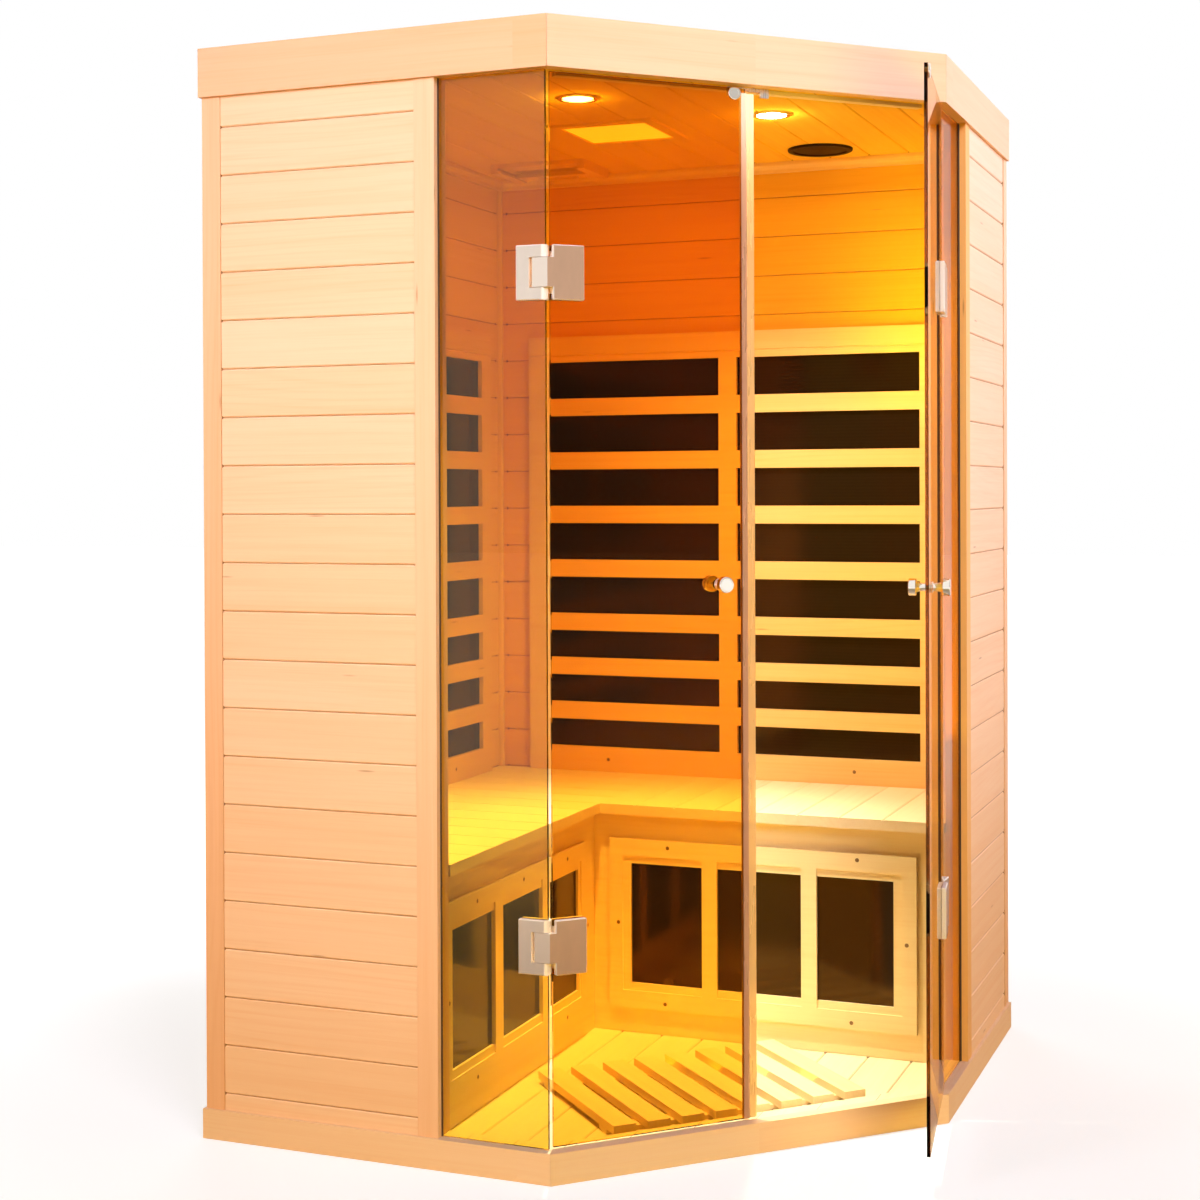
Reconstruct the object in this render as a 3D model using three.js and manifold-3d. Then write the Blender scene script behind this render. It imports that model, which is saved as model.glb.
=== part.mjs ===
// Corner infrared sauna cabin for two people: a square plan with one corner cut off by two glass doors.
// Millimetres, +Z up. The origin is the centre of the square plan, on the ground. The rear wall is at +Y,
// the side wall at -X, and the doors face the cut corner between +X and -Y. The plan is symmetric about
// the vertical plane that runs from the back corner to the middle of the doors.

import * as THREE from 'three';
import { mergeVertices } from 'three/addons/utils/BufferGeometryUtils.js';
import Module from 'manifold-3d';

const wasm = await Module();
wasm.setup();

// Cabin as a whole
const FOOTPRINT = 1200;
const HEIGHT = 1900;
const SIDE_FACE = 660;
const SEAT_GAP = 0.3;

// Plinth, cornice and walls
const PLINTH_HEIGHT = 52;
const PLINTH_THICKNESS = 22;
const CORNICE_HEIGHT = 85;
const CORNICE_THICKNESS = 22;
const FACE_SETBACK = 5;
const WALL_THICKNESS = 45;
const CORNER_POST_WIDTH = 36;
const JAMB_POST_WIDTH = 38;
const PANEL_LENGTH = 450;

// Tongue-and-groove boards
const PLANK_PITCH = 84;
const FIRST_PLANK = 29;
const GROOVE_WIDTH = 5;
const GROOVE_DEPTH = 2.5;
const BOARD_RECESS = 1.5;
const OUTER_BOARD = 12;
const INNER_BOARD = 10;
const CORE_RAIL = 40;
const CORE_BAYS = 4;

// Floor, ceiling and roof
const FLOOR_DROP = 12;
const DECK_THICKNESS = 22;
const JOIST_WIDTH = 60;
const CEILING_RISE = 20;
const CEILING_THICKNESS = 15;
const ROOF_THICKNESS = 12;

// Glass and doors
const GLASS_THICKNESS = 6;
const GLASS_INSET = 22;
const CHANNEL_DEPTH = 10;
const CORNER_GLASS_GAP = 3;
const DOOR_HINGE_GAP = 4;
const DOOR_MEETING_GAP = 21;
const DOOR_END_GAP = 4;
const RIGHT_DOOR_OPEN_DEG = 53;

// Glass-to-glass hinges
const HINGE_FROM_DOOR_END = 327;
const HINGE_HEIGHT = 90;
const HINGE_THICKNESS = 22;
const HINGE_EDGE_CHAMFER = 1.5;
const AXIS_FROM_CORNER = 10;
const FIXED_LEAF_REACH = 42;
const DOOR_LEAF_LENGTH = 55;
const DOOR_LEAF_START = 6;
const TONGUE_REACH = 13;
const TONGUE_HEIGHT = 48;
const NOTCH_REACH = 18.5;
const NOTCH_HEIGHT = 50;
const LEAF_WEB = 10;
const DOOR_LEAF_WEB = 20;
const GLASS_NOTCH_HEIGHT = 70;
const PIN_RADIUS = 4;
const PIN_LENGTH = 66;
const PIN_RUNNING_GAP = 0.1;

// Door knobs, strikes, catch and seal
const KNOB_HEIGHT = 969;
const KNOB_FROM_EDGE = 53;
const KNOB_CAP_RADIUS = 14;
const KNOB_CAP_LENGTH = 13;
const KNOB_CAP_CHAMFER = 1.5;
const KNOB_NECK_RADIUS = 7;
const KNOB_SHOULDER_RADIUS = 9;
const KNOB_NECK_LENGTH = 15;
const KNOB_FOOT_RADIUS = 9.5;
const KNOB_FOOT_LENGTH = 2.5;
const STUD_RADIUS = 3.5;
const STUD_GRIP = 8;
const STRIKE_RADIUS = 12;
const STRIKE_THICKNESS = 3;
const STRIKE_SHANK_RADIUS = 5;
const STRIKE_SHANK_PROUD = 1;
const STRIKE_FROM_EDGE = 21;
const STRIKE_FROM_TOP = 9;
const CATCH_HEIGHT = 15;
const CATCH_DEPTH = 6;
const CATCH_LUG = 16;
const CATCH_AIR_GAP = 1;
const HEADER_HEIGHT = 6;
const HEADER_THICKNESS = 16;
const HEADER_END_GAP = 20;
const SEAL_GRIP = 8;
const SEAL_WALL = 1.5;
const SEAL_FIN = 18;
const SEAL_FIN_THICKNESS = 3;
const SEAL_END_GAP = 8;

// Heater panels and the slatted guards in front of them
const GUARD_END_MARGIN = 80;
const GUARD_THICKNESS = 15;
const GUARD_STILE = 47;
const GUARD_MULLION = 40;
const GUARD_BOTTOM_RAIL = 55;
const GUARD_TOP_RAIL = 57;
const GUARD_CAP = 42;
const GUARD_SLAT = 38.5;
const SHORT_WINDOW = 61;
const SHORT_ROWS = 3;
const TALL_WINDOW = 82;
const TALL_ROWS = 5;
const HEATER_THICKNESS = 5;
const HEATER_MARGIN = 20;

// Corner bench and its front boards
const BENCH_HEIGHT = 500;
const BENCH_THICKNESS = 20;
const BENCH_FRONT_SETBACK = 20;
const BENCH_CLEAT = 30;
const BENCH_FRONT_THICKNESS = 12;
const CALF_FRAME_THICKNESS = 8;
const CALF_FRAME_BOTTOM = 92;
const CALF_FRAME_TOP = 430;
const CALF_RAIL = 34;
const CALF_BAR_HEIGHT = 15;
const CALF_BAR_THICKNESS = 5;
const CALF_HEATER_MARGIN = 25;

// The two arms of the bench: seat depth, first board from the corner end, and the frame round the calf heater
const REAR_ARM = {
  depth: 420, firstBoard: 74, frameFromWall: 51, frameFromCorner: 36,
  stile: 28, endBar: 17, mullion: 31, centreWindow: 172, windowShift: 0,
};
const SIDE_ARM = {
  depth: 408, firstBoard: 84, frameFromWall: 6, frameFromCorner: 67,
  stile: 22, endBar: 10, mullion: 33, centreWindow: 180, windowShift: 10.5,
};

// Duckboard on the floor behind the doors
const DUCK_SLATS = 8;
const DUCK_SLAT_WIDTH = 42;
const DUCK_PITCH = 64;
const DUCK_LENGTH = 340;
const DUCK_SLAT_THICKNESS = 14;
const DUCK_BATTEN_THICKNESS = 8;
const DUCK_BATTEN_WIDTH = 32;
const DUCK_BATTEN_INSET = 45;
const DUCK_FROM_FRONT = 58;

// Ceiling fittings
const LAMP_WIDTH = 172;
const LAMP_THICKNESS = 2.5;
const LAMP_CHAMFER = 0.8;
const LAMP_FRAME = 22;
const LAMP_FRAME_THICKNESS = 5;
const LAMP_FROM_DOORS = 551;
const DOWNLIGHT_SPACING = 396;
const DOWNLIGHT_FROM_DOORS = 286;
const DOWNLIGHT_RIM_RADIUS = 36;
const DOWNLIGHT_BODY_RADIUS = 28;
const DOWNLIGHT_LENS_RADIUS = 22;
const DOWNLIGHT_RIM = 3;
const DOWNLIGHT_RECESS = 7;
const DOWNLIGHT_BODY = 30;
const SPEAKER_FROM_RIGHT = 308;
const SPEAKER_FROM_REAR = 133;
const SPEAKER_RIM_RADIUS = 67;
const SPEAKER_BODY_RADIUS = 55;
const SPEAKER_RIM = 5;
const SPEAKER_BODY = 28;
const SPEAKER_RINGS = 3;
const SPEAKER_RING_DEPTH = 2;
const VENT_FROM_SIDE = 190;
const VENT_FROM_REAR = 147;
const VENT_LENGTH = 215;
const VENT_WIDTH = 145;
const VENT_BOARD = 8;
const VENT_RAIL = 14;
const VENT_LIP = 7;
const VENT_LIP_THICKNESS = 4;
const VENT_SLOT_LENGTH = 150;
const VENT_SLOT_WIDTH = 40;
const VENT_SLIDER_WIDTH = 50;
const VENT_SLIDER_THICKNESS = 7;
const VENT_GRIP_LENGTH = 90;
const VENT_GRIP_WIDTH = 8;
const VENT_GRIP_HEIGHT = 6;
const VENT_RUNNING_GAP = 0.5;

// Power unit in the roof space
const UNIT_FROM_RIGHT = 370;
const UNIT_FROM_REAR = 370;
const UNIT_LENGTH = 240;
const UNIT_WIDTH = 160;
const UNIT_HEIGHT = 30;
const UNIT_CHAMFER = 4;
const GLAND_RADIUS = 11;
const GLAND_BELOW_ROOF = 2;

// Fineness of round forms, and how far a cutting tool reaches past the face that it cuts
const ROUND_STEPS = 24;
const FINE_STEPS = 36;
const CUT_OVERSHOOT = 1;
const MERGE_TOLERANCE = 1e-4;

// Derived levels and planes
const HALF = FOOTPRINT / 2;
const FLOOR_TOP = PLINTH_HEIGHT - FLOOR_DROP;
const CORNICE_BOTTOM = HEIGHT - CORNICE_HEIGHT;
const CEILING_BOTTOM = CORNICE_BOTTOM + CEILING_RISE;
const CEILING_TOP = CEILING_BOTTOM + CEILING_THICKNESS;
const ROOF_BOTTOM = HEIGHT - ROOF_THICKNESS;
const WALL_BOTTOM = PLINTH_HEIGHT + SEAT_GAP;
const WALL_TOP = CORNICE_BOTTOM - SEAT_GAP;
const WALL_FACE = HALF - FACE_SETBACK;
const ROOM_INSET = FACE_SETBACK + WALL_THICKNESS;
const ROOM_FACE = HALF - ROOM_INSET;
const ROOM_EDGE = ROOM_FACE - SEAT_GAP;
const PANEL_FACE = WALL_FACE - BOARD_RECESS;
const JAMB_END = -WALL_FACE + PANEL_LENGTH;
const JAMB_START = JAMB_END - JAMB_POST_WIDTH;
const GLASS_PLANE = HALF - GLASS_INSET;
const GLASS_HALF = GLASS_THICKNESS / 2;

// Corner where the middle planes of the left fixed pane and the closed left door meet, and the hinge axis
const CORNER = { x: planCorner(GLASS_INSET), y: -GLASS_PLANE };
const AXIS = { x: CORNER.x - AXIS_FROM_CORNER, y: CORNER.y };
const DOOR_TURN = Math.PI / 4;
const DOOR_SPAN = (GLASS_PLANE - CORNER.x) * Math.SQRT2;
const DOOR_EDGE = (DOOR_SPAN - DOOR_MEETING_GAP) / 2;
const DOOR_BOTTOM = PLINTH_HEIGHT + DOOR_END_GAP;
const DOOR_TOP = CORNICE_BOTTOM - DOOR_END_GAP;
const HINGE_LEVELS = { upper: DOOR_TOP - HINGE_FROM_DOOR_END, lower: DOOR_BOTTOM + HINGE_FROM_DOOR_END };
const HINGE_HALF = HINGE_THICKNESS / 2;
const BENCH_UNDERSIDE = BENCH_HEIGHT - BENCH_THICKNESS;
const GUARD_HALF = ROOM_FACE - GUARD_END_MARGIN;

// Places of the ceiling fittings
const LAMP_PLACE = behindDoors(DOOR_SPAN / 2, LAMP_FROM_DOORS);
const DOWNLIGHT_PLACE = behindDoors((DOOR_SPAN - DOWNLIGHT_SPACING) / 2, DOWNLIGHT_FROM_DOORS);
const SPEAKER_PLACE = { x: ROOM_FACE - SPEAKER_FROM_RIGHT, y: ROOM_FACE - SPEAKER_FROM_REAR };
const VENT_PLACE = { x: VENT_FROM_SIDE - ROOM_FACE, y: ROOM_FACE - VENT_FROM_REAR };
const UNIT_PLACE = { x: ROOM_FACE - UNIT_FROM_RIGHT, y: ROOM_FACE - UNIT_FROM_REAR };

// A point of the plan, from its distance along the closed doors and its distance behind them
function behindDoors(along, depth) {
  const x = CORNER.x + along * Math.cos(DOOR_TURN) - depth * Math.sin(DOOR_TURN);
  const y = CORNER.y + along * Math.sin(DOOR_TURN) + depth * Math.cos(DOOR_TURN);
  return { x, y };
}

// X of the plan corner between the left face and the cut corner, on an outline moved in by an inset
function planCorner(inset) {
  return SIDE_FACE - HALF + inset * (1 - Math.SQRT2);
}

// Five-sided plan outline, moved in by one inset along the three show faces and another along the back
function planOutline(front, back = front) {
  const corner = planCorner(front);
  const face = HALF - front;
  const rear = HALF - back;
  return [[-rear, -face], [corner, -face], [face, -corner], [face, rear], [-rear, rear]];
}

// A solid from a closed geometry, with shared corners merged and collapsed triangles left out
function solidOf(geometry) {
  const bare = geometry.clone();
  bare.deleteAttribute('normal');
  bare.deleteAttribute('uv');
  const merged = mergeVertices(bare, MERGE_TOLERANCE);
  const corners = merged.getIndex().array;
  const triangles = [];
  for (let i = 0; i < corners.length; i += 3) {
    const [a, b, c] = corners.slice(i, i + 3);
    if (a !== b && b !== c && c !== a) triangles.push(a, b, c);
  }
  return solidFrom(merged.getAttribute('position').array, triangles);
}

function solidFrom(vertices, triangles) {
  const vertProperties = new Float32Array(vertices);
  const triVerts = new Uint32Array(triangles);
  return new wasm.Manifold(new wasm.Mesh({ numProp: 3, vertProperties, triVerts }));
}

function geometryOf(solid) {
  const { vertProperties, triVerts } = solid.getMesh();
  const geometry = new THREE.BufferGeometry();
  geometry.setAttribute('position', new THREE.BufferAttribute(new Float32Array(vertProperties), 3));
  geometry.setIndex(new THREE.BufferAttribute(new Uint32Array(triVerts), 1));
  return geometry;
}

// The same solid on the other side of the plan's plane of symmetry
function mirrored(solid) {
  const { vertProperties, triVerts } = solid.getMesh();
  const vertices = vertProperties.slice();
  for (let i = 0; i < vertices.length; i += 3) {
    vertices[i] = -vertProperties[i + 1];
    vertices[i + 1] = -vertProperties[i];
  }
  return solidFrom(vertices, triVerts.slice().reverse());
}

// A solid drawn in the closed left door's own frame (X along the door, -Y outwards), set in the cabin
function onDoor(solid) {
  const place = new THREE.Matrix4().makeRotationZ(DOOR_TURN).setPosition(CORNER.x, CORNER.y, 0);
  return solidOf(geometryOf(solid).applyMatrix4(place));
}

// Outlines are pairs of the two axes that follow the extrusion axis: (y, z), (z, x) or (x, y)
const X_AXIS = new THREE.Vector3(1, 0, 0);
const Y_AXIS = new THREE.Vector3(0, 1, 0);
const Z_AXIS = new THREE.Vector3(0, 0, 1);
const EXTRUSION_FRAMES = {
  x: new THREE.Matrix4().makeBasis(Y_AXIS, Z_AXIS, X_AXIS),
  y: new THREE.Matrix4().makeBasis(Z_AXIS, X_AXIS, Y_AXIS),
  z: new THREE.Matrix4(),
};

function pathPoints(outline) {
  return outline.map(([u, v]) => new THREE.Vector2(u, v));
}

function prism(axis, outline, [from, to], holes = []) {
  const shape = new THREE.Shape(pathPoints(outline));
  const geometry = new THREE.ExtrudeGeometry(shape, { depth: to - from, bevelEnabled: false });
  geometry.translate(0, 0, from);
  const solid = solidOf(geometry.applyMatrix4(EXTRUSION_FRAMES[axis]));
  const through = [from - CUT_OVERSHOOT, to + CUT_OVERSHOOT];
  return holes.reduce((pierced, hole) => pierced.subtract(prism(axis, hole, through)), solid);
}

function block([x0, x1], [y0, y1], [z0, z1]) {
  const geometry = new THREE.BoxGeometry(x1 - x0, y1 - y0, z1 - z0);
  geometry.translate((x0 + x1) / 2, (y0 + y1) / 2, (z0 + z1) / 2);
  return solidOf(geometry);
}

function rectangle([u0, u1], [v0, v1]) {
  return [[u0, v0], [u1, v0], [u1, v1], [u0, v1]];
}

function easedRectangle([u0, u1], [v0, v1], ease) {
  return [
    [u0 + ease, v0], [u1 - ease, v0], [u1, v0 + ease], [u1, v1 - ease],
    [u1 - ease, v1], [u0 + ease, v1], [u0, v1 - ease], [u0, v0 + ease],
  ];
}

// A block with all of its edges chamfered
function easedBlock(x, y, z, ease) {
  return prism('z', easedRectangle(x, y, ease), z)
    .intersect(prism('x', easedRectangle(y, z, ease), x))
    .intersect(prism('y', easedRectangle(z, x, ease), y));
}

function cylinder({ x, y }, radius, [low, high], steps = ROUND_STEPS) {
  const geometry = new THREE.CylinderGeometry(radius, radius, high - low, steps);
  geometry.rotateX(Math.PI / 2);
  geometry.translate(x, y, (low + high) / 2);
  return solidOf(geometry);
}

// A turned solid from (radius, distance) points, standing along a direction from a base point
function turning(profile, base, direction, steps = ROUND_STEPS) {
  const geometry = new THREE.LatheGeometry(pathPoints(profile), steps);
  const lean = new THREE.Quaternion().setFromUnitVectors(Y_AXIS, direction);
  geometry.applyQuaternion(lean);
  geometry.translate(base.x, base.y, base.z);
  return solidOf(geometry);
}

function around(centre, length) {
  return [centre - length / 2, centre + length / 2];
}

// Places of the joints between boards, from the first board's joint upwards
function boardJoints(low, high, first = FIRST_PLANK) {
  const joints = [];
  for (let joint = low + first; joint < high - GROOVE_WIDTH; joint += PLANK_PITCH) joints.push(joint);
  return joints;
}

function groovedFace(face, inward, joints) {
  const half = GROOVE_WIDTH / 2;
  return joints.flatMap((joint) => [
    [face, joint - half], [face + inward * GROOVE_DEPTH, joint], [face, joint + half],
  ]);
}

// Section of boards laid edge to edge between two faces, with a groove at each joint
function boardSection([faceA, faceB], [low, high], joints, faceBJoints = joints) {
  return [
    [faceA, low], ...groovedFace(faceA, 1, joints), [faceA, high],
    [faceB, high], ...groovedFace(faceB, -1, faceBJoints).reverse(), [faceB, low],
  ];
}

// Hollow bays inside a boarded panel, open at its ends, between rails that hold the two layers of boards
function coreBays([faceA, faceB]) {
  const bayPitch = (WALL_TOP - WALL_BOTTOM - CORE_RAIL) / CORE_BAYS;
  return Array.from({ length: CORE_BAYS }, (_, bay) => {
    const low = WALL_BOTTOM + CORE_RAIL + bay * bayPitch;
    return rectangle([faceA, faceB], [low, low + bayPitch - CORE_RAIL]);
  });
}

// A wall panel of boards that run along X, between an outer and an inner face
function boardedPanel(faces, core, length) {
  const height = [WALL_BOTTOM, WALL_TOP];
  const section = boardSection(faces, height, boardJoints(...height));
  return prism('x', section, length, coreBays(core));
}

function leftPanel() {
  const length = [-WALL_FACE + CORNER_POST_WIDTH + SEAT_GAP, JAMB_START - SEAT_GAP];
  const core = [-PANEL_FACE + OUTER_BOARD, -ROOM_FACE - INNER_BOARD];
  return boardedPanel([-PANEL_FACE, -ROOM_FACE], core, length);
}

function rearPanel(length) {
  const core = [ROOM_FACE + INNER_BOARD, PANEL_FACE - OUTER_BOARD];
  return boardedPanel([ROOM_FACE, PANEL_FACE], core, length);
}

// The side panel runs to the back corner, where a post closes its open end
function sidePanel() {
  const width = [-PANEL_FACE, -PANEL_FACE + CORE_RAIL];
  const depth = [ROOM_FACE + INNER_BOARD - CUT_OVERSHOOT, PANEL_FACE - OUTER_BOARD + CUT_OVERSHOOT];
  const post = block(width, depth, [WALL_BOTTOM, WALL_TOP]);
  return mirrored(rearPanel([-PANEL_FACE, ROOM_EDGE]).add(post));
}

function leftCornerPost() {
  const width = [-WALL_FACE, -WALL_FACE + CORNER_POST_WIDTH];
  return block(width, [-WALL_FACE, -ROOM_FACE], [WALL_BOTTOM, WALL_TOP]);
}

// Post beside the fixed pane, with a channel that holds the edge of the glass
function leftJambPost() {
  const post = block([JAMB_START, JAMB_END], [-WALL_FACE, -ROOM_FACE], [WALL_BOTTOM, WALL_TOP]);
  const width = around(-GLASS_PLANE, GLASS_THICKNESS + 2 * SEAT_GAP);
  const depth = [JAMB_END - CHANNEL_DEPTH - SEAT_GAP, JAMB_END + CUT_OVERSHOOT];
  return post.subtract(block(depth, width, [WALL_BOTTOM - CUT_OVERSHOOT, WALL_TOP + CUT_OVERSHOOT]));
}

// Board along the left face, cut square at the back and to a mitre at the doors
function leftStrip(thickness, levels) {
  const outer = planCorner(0) - SEAT_GAP / 2;
  const inner = planCorner(thickness) - SEAT_GAP / 2;
  const back = thickness - HALF;
  return prism('z', [[-HALF, -HALF], [outer, -HALF], [inner, back], [-HALF, back]], levels);
}

// Board along the cut corner, cut to a mitre at both ends
function frontStrip(thickness, levels) {
  const outer = planCorner(0);
  const inner = planCorner(thickness);
  const step = SEAT_GAP / 2;
  return prism('z', [
    [outer + step, step - HALF], [HALF - step, -outer - step],
    [HALF - thickness - step, -inner - step], [inner + step, thickness - HALF + step],
  ], levels);
}

// V-shaped cuts along Y on a level face, one at each joint between boards, inside the room's outline
function levelGrooves(face, upwards) {
  const half = GROOVE_WIDTH / 2;
  const flare = half * (1 + CUT_OVERSHOOT / GROOVE_DEPTH);
  const open = face - upwards * CUT_OVERSHOOT;
  const room = prism('z', planOutline(ROOM_INSET + CUT_OVERSHOOT), around(face, 2 * PLINTH_HEIGHT));
  const cuts = boardJoints(-ROOM_FACE, ROOM_FACE).map((x) => prism(
    'y', [[open, x - flare], [face + upwards * GROOVE_DEPTH, x], [open, x + flare]], [-HALF, HALF],
  ));
  return cuts.reduce((all, cut) => all.add(cut)).intersect(room);
}

// Boarded deck with a raised rim under the walls, on a frame of joists
function floorPanel() {
  const slab = prism('z', planOutline(PLINTH_THICKNESS + SEAT_GAP, 0), [0, PLINTH_HEIGHT]);
  const room = prism('z', planOutline(ROOM_INSET), [FLOOR_TOP, PLINTH_HEIGHT + CUT_OVERSHOOT]);
  const below = [-CUT_OVERSHOOT, FLOOR_TOP - DECK_THICKNESS];
  const joist = around(0, JOIST_WIDTH);
  const bays = prism('z', planOutline(PLINTH_THICKNESS + JOIST_WIDTH, JOIST_WIDTH), below)
    .subtract(block(joist, [-HALF, HALF], around(0, HEIGHT)))
    .subtract(block([-HALF, HALF], joist, around(0, HEIGHT)));
  return slab.subtract(room).subtract(bays).subtract(levelGrooves(FLOOR_TOP, -1));
}

// Boarded ceiling with a rim that stands on the walls, the lamp's wooden frame, and holes for its fittings
function ceilingPanel() {
  const outline = planOutline(CORNICE_THICKNESS + SEAT_GAP);
  const slab = prism('z', outline, [CORNICE_BOTTOM, CEILING_TOP]);
  const room = prism('z', planOutline(ROOM_INSET), [CORNICE_BOTTOM - CUT_OVERSHOOT, CEILING_BOTTOM]);
  const through = [CORNICE_BOTTOM - CUT_OVERSHOOT, CEILING_TOP + CUT_OVERSHOOT];
  const downlight = cylinder(DOWNLIGHT_PLACE, DOWNLIGHT_BODY_RADIUS + SEAT_GAP, through);
  return slab.subtract(room)
    .subtract(levelGrooves(CEILING_BOTTOM, 1))
    .add(lampFrame())
    .subtract(downlight)
    .subtract(mirrored(downlight))
    .subtract(cylinder(SPEAKER_PLACE, SPEAKER_BODY_RADIUS + SEAT_GAP, through, FINE_STEPS))
    .subtract(ventSlot(through));
}

function lampFrame() {
  const clear = LAMP_WIDTH + 2 * SEAT_GAP;
  const square = (size) => rectangle(around(LAMP_PLACE.x, size), around(LAMP_PLACE.y, size));
  const levels = [CEILING_BOTTOM - LAMP_FRAME_THICKNESS, CEILING_BOTTOM + GROOVE_DEPTH + CUT_OVERSHOOT];
  return prism('z', square(clear + 2 * LAMP_FRAME), levels, [square(clear)]);
}

function ventSlot(levels) {
  return block(around(VENT_PLACE.x, VENT_SLOT_LENGTH), around(VENT_PLACE.y, VENT_SLOT_WIDTH), levels);
}

// Thin cover over the roof space, with rails down the two hidden sides and holes for the vent and cable
function roofCover() {
  const outline = planOutline(CORNICE_THICKNESS + SEAT_GAP, 0);
  const slab = prism('z', outline, [CORNICE_BOTTOM, HEIGHT]);
  const space = prism('z', [
    [-HALF + CORNICE_THICKNESS, -HALF], [HALF, -HALF],
    [HALF, HALF - CORNICE_THICKNESS], [-HALF + CORNICE_THICKNESS, HALF - CORNICE_THICKNESS],
  ], [CORNICE_BOTTOM - CUT_OVERSHOOT, ROOF_BOTTOM]);
  const through = [ROOF_BOTTOM - CUT_OVERSHOOT, HEIGHT + CUT_OVERSHOOT];
  return slab.subtract(space)
    .subtract(ventSlot(through))
    .subtract(cylinder(UNIT_PLACE, GLAND_RADIUS + SEAT_GAP, through));
}

// Fixed pane with an open-sided cut-out at each hinge; grow thickens it, to cut its seat in other pieces
function leftPane(grow = 0) {
  const edge = CORNER.x - CORNER_GLASS_GAP + grow;
  const thickness = around(-GLASS_PLANE, GLASS_THICKNESS + 2 * grow);
  const pane = block([JAMB_END - CHANNEL_DEPTH, edge], thickness, [WALL_BOTTOM, WALL_TOP]);
  const cutDepth = [AXIS.x - NOTCH_REACH - LEAF_WEB + grow, edge + CUT_OVERSHOOT];
  return hingeLevels().reduce((glass, level) => glass.subtract(block(
    cutDepth, around(-GLASS_PLANE, HINGE_THICKNESS), around(level, GLASS_NOTCH_HEIGHT - 2 * grow),
  )), pane);
}

function hingeLevels() {
  return Object.values(HINGE_LEVELS);
}

// Door pane in the door's own frame, with a cut-out at each hinge and holes for the knob and the strike
function doorPane(grow = 0) {
  const thickness = around(0, GLASS_THICKNESS + 2 * grow);
  const pane = block([DOOR_HINGE_GAP, DOOR_EDGE], thickness, [DOOR_BOTTOM, DOOR_TOP]);
  const cutDepth = [0, DOOR_LEAF_START + DOOR_LEAF_WEB - grow];
  const notched = hingeLevels().reduce((glass, level) => glass.subtract(block(
    cutDepth, around(0, HINGE_THICKNESS), around(level, GLASS_NOTCH_HEIGHT - 2 * grow),
  )), pane);
  return notched
    .subtract(crossHole(KNOB_PLACE, STUD_RADIUS + SEAT_GAP))
    .subtract(crossHole(STRIKE_PLACE, STRIKE_SHANK_RADIUS + SEAT_GAP));
}

const OUTWARDS = new THREE.Vector3(0, -1, 0);
const INWARDS = new THREE.Vector3(0, 1, 0);
const UPWARDS = new THREE.Vector3(0, 0, 1);
const KNOB_PLACE = { x: DOOR_EDGE - KNOB_FROM_EDGE, z: KNOB_HEIGHT };
const STRIKE_PLACE = { x: DOOR_EDGE - STRIKE_FROM_EDGE, z: DOOR_TOP - STRIKE_FROM_TOP };

function crossHole(place, radius) {
  const depth = GLASS_THICKNESS + 2 * CUT_OVERSHOOT;
  const base = new THREE.Vector3(place.x, -depth / 2, place.z);
  return turning([[0, 0], [radius, 0], [radius, depth], [0, depth]], base, INWARDS);
}

// Leaf on the fixed pane: two cheeks round the glass, and two arms with the pin between them
function fixedLeaf(level) {
  const height = around(level, HINGE_HEIGHT);
  const length = [AXIS.x - FIXED_LEAF_REACH, AXIS.x + HINGE_HALF];
  const faces = around(AXIS.y, HINGE_THICKNESS);
  const body = easedBlock([length[0], AXIS.x + HINGE_HALF], faces, height, HINGE_EDGE_CHAMFER)
    .intersect(barrelEnd(length[0], height));
  const notch = block(
    [AXIS.x - NOTCH_REACH, length[1] + CUT_OVERSHOOT],
    around(AXIS.y, HINGE_THICKNESS + 2 * CUT_OVERSHOOT), around(level, NOTCH_HEIGHT),
  );
  const bore = cylinder(AXIS, PIN_RADIUS + SEAT_GAP, around(level, PIN_LENGTH + 2 * SEAT_GAP));
  return body.subtract(notch).subtract(leftPane(SEAT_GAP)).subtract(bore);
}

// Plan of a leaf whose end is rounded about the hinge axis, so that the door leaf can turn round it
function barrelEnd(start, height) {
  const straight = block([start, AXIS.x], around(AXIS.y, HINGE_THICKNESS), height);
  return straight.add(cylinder(AXIS, HINGE_HALF, height, FINE_STEPS));
}

// Leaf on the door pane, with a tongue that reaches between the arms of the fixed leaf to the pin
function doorLeaf(level) {
  const length = [DOOR_LEAF_START, DOOR_LEAF_START + DOOR_LEAF_LENGTH];
  const faces = around(0, HINGE_THICKNESS);
  const plate = easedBlock(length, faces, around(level, HINGE_HEIGHT), HINGE_EDGE_CHAMFER)
    .subtract(doorPane(SEAT_GAP));
  const tongueHeight = around(level, TONGUE_HEIGHT);
  const mitre = HINGE_HALF * Math.tan(DOOR_TURN / 2);
  const root = block([-mitre, DOOR_LEAF_START + DOOR_LEAF_WEB / 2], faces, tongueHeight);
  const tongue = block(
    [AXIS.x - TONGUE_REACH, CORNER.x + mitre], around(AXIS.y, HINGE_THICKNESS), tongueHeight,
  );
  const bore = cylinder(AXIS, PIN_RADIUS + PIN_RUNNING_GAP, around(level, HINGE_HEIGHT), FINE_STEPS);
  return onDoor(plate.add(root)).add(tongue).subtract(bore);
}

function hingePin(level) {
  return cylinder(AXIS, PIN_RADIUS, around(level, PIN_LENGTH), FINE_STEPS);
}

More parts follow.
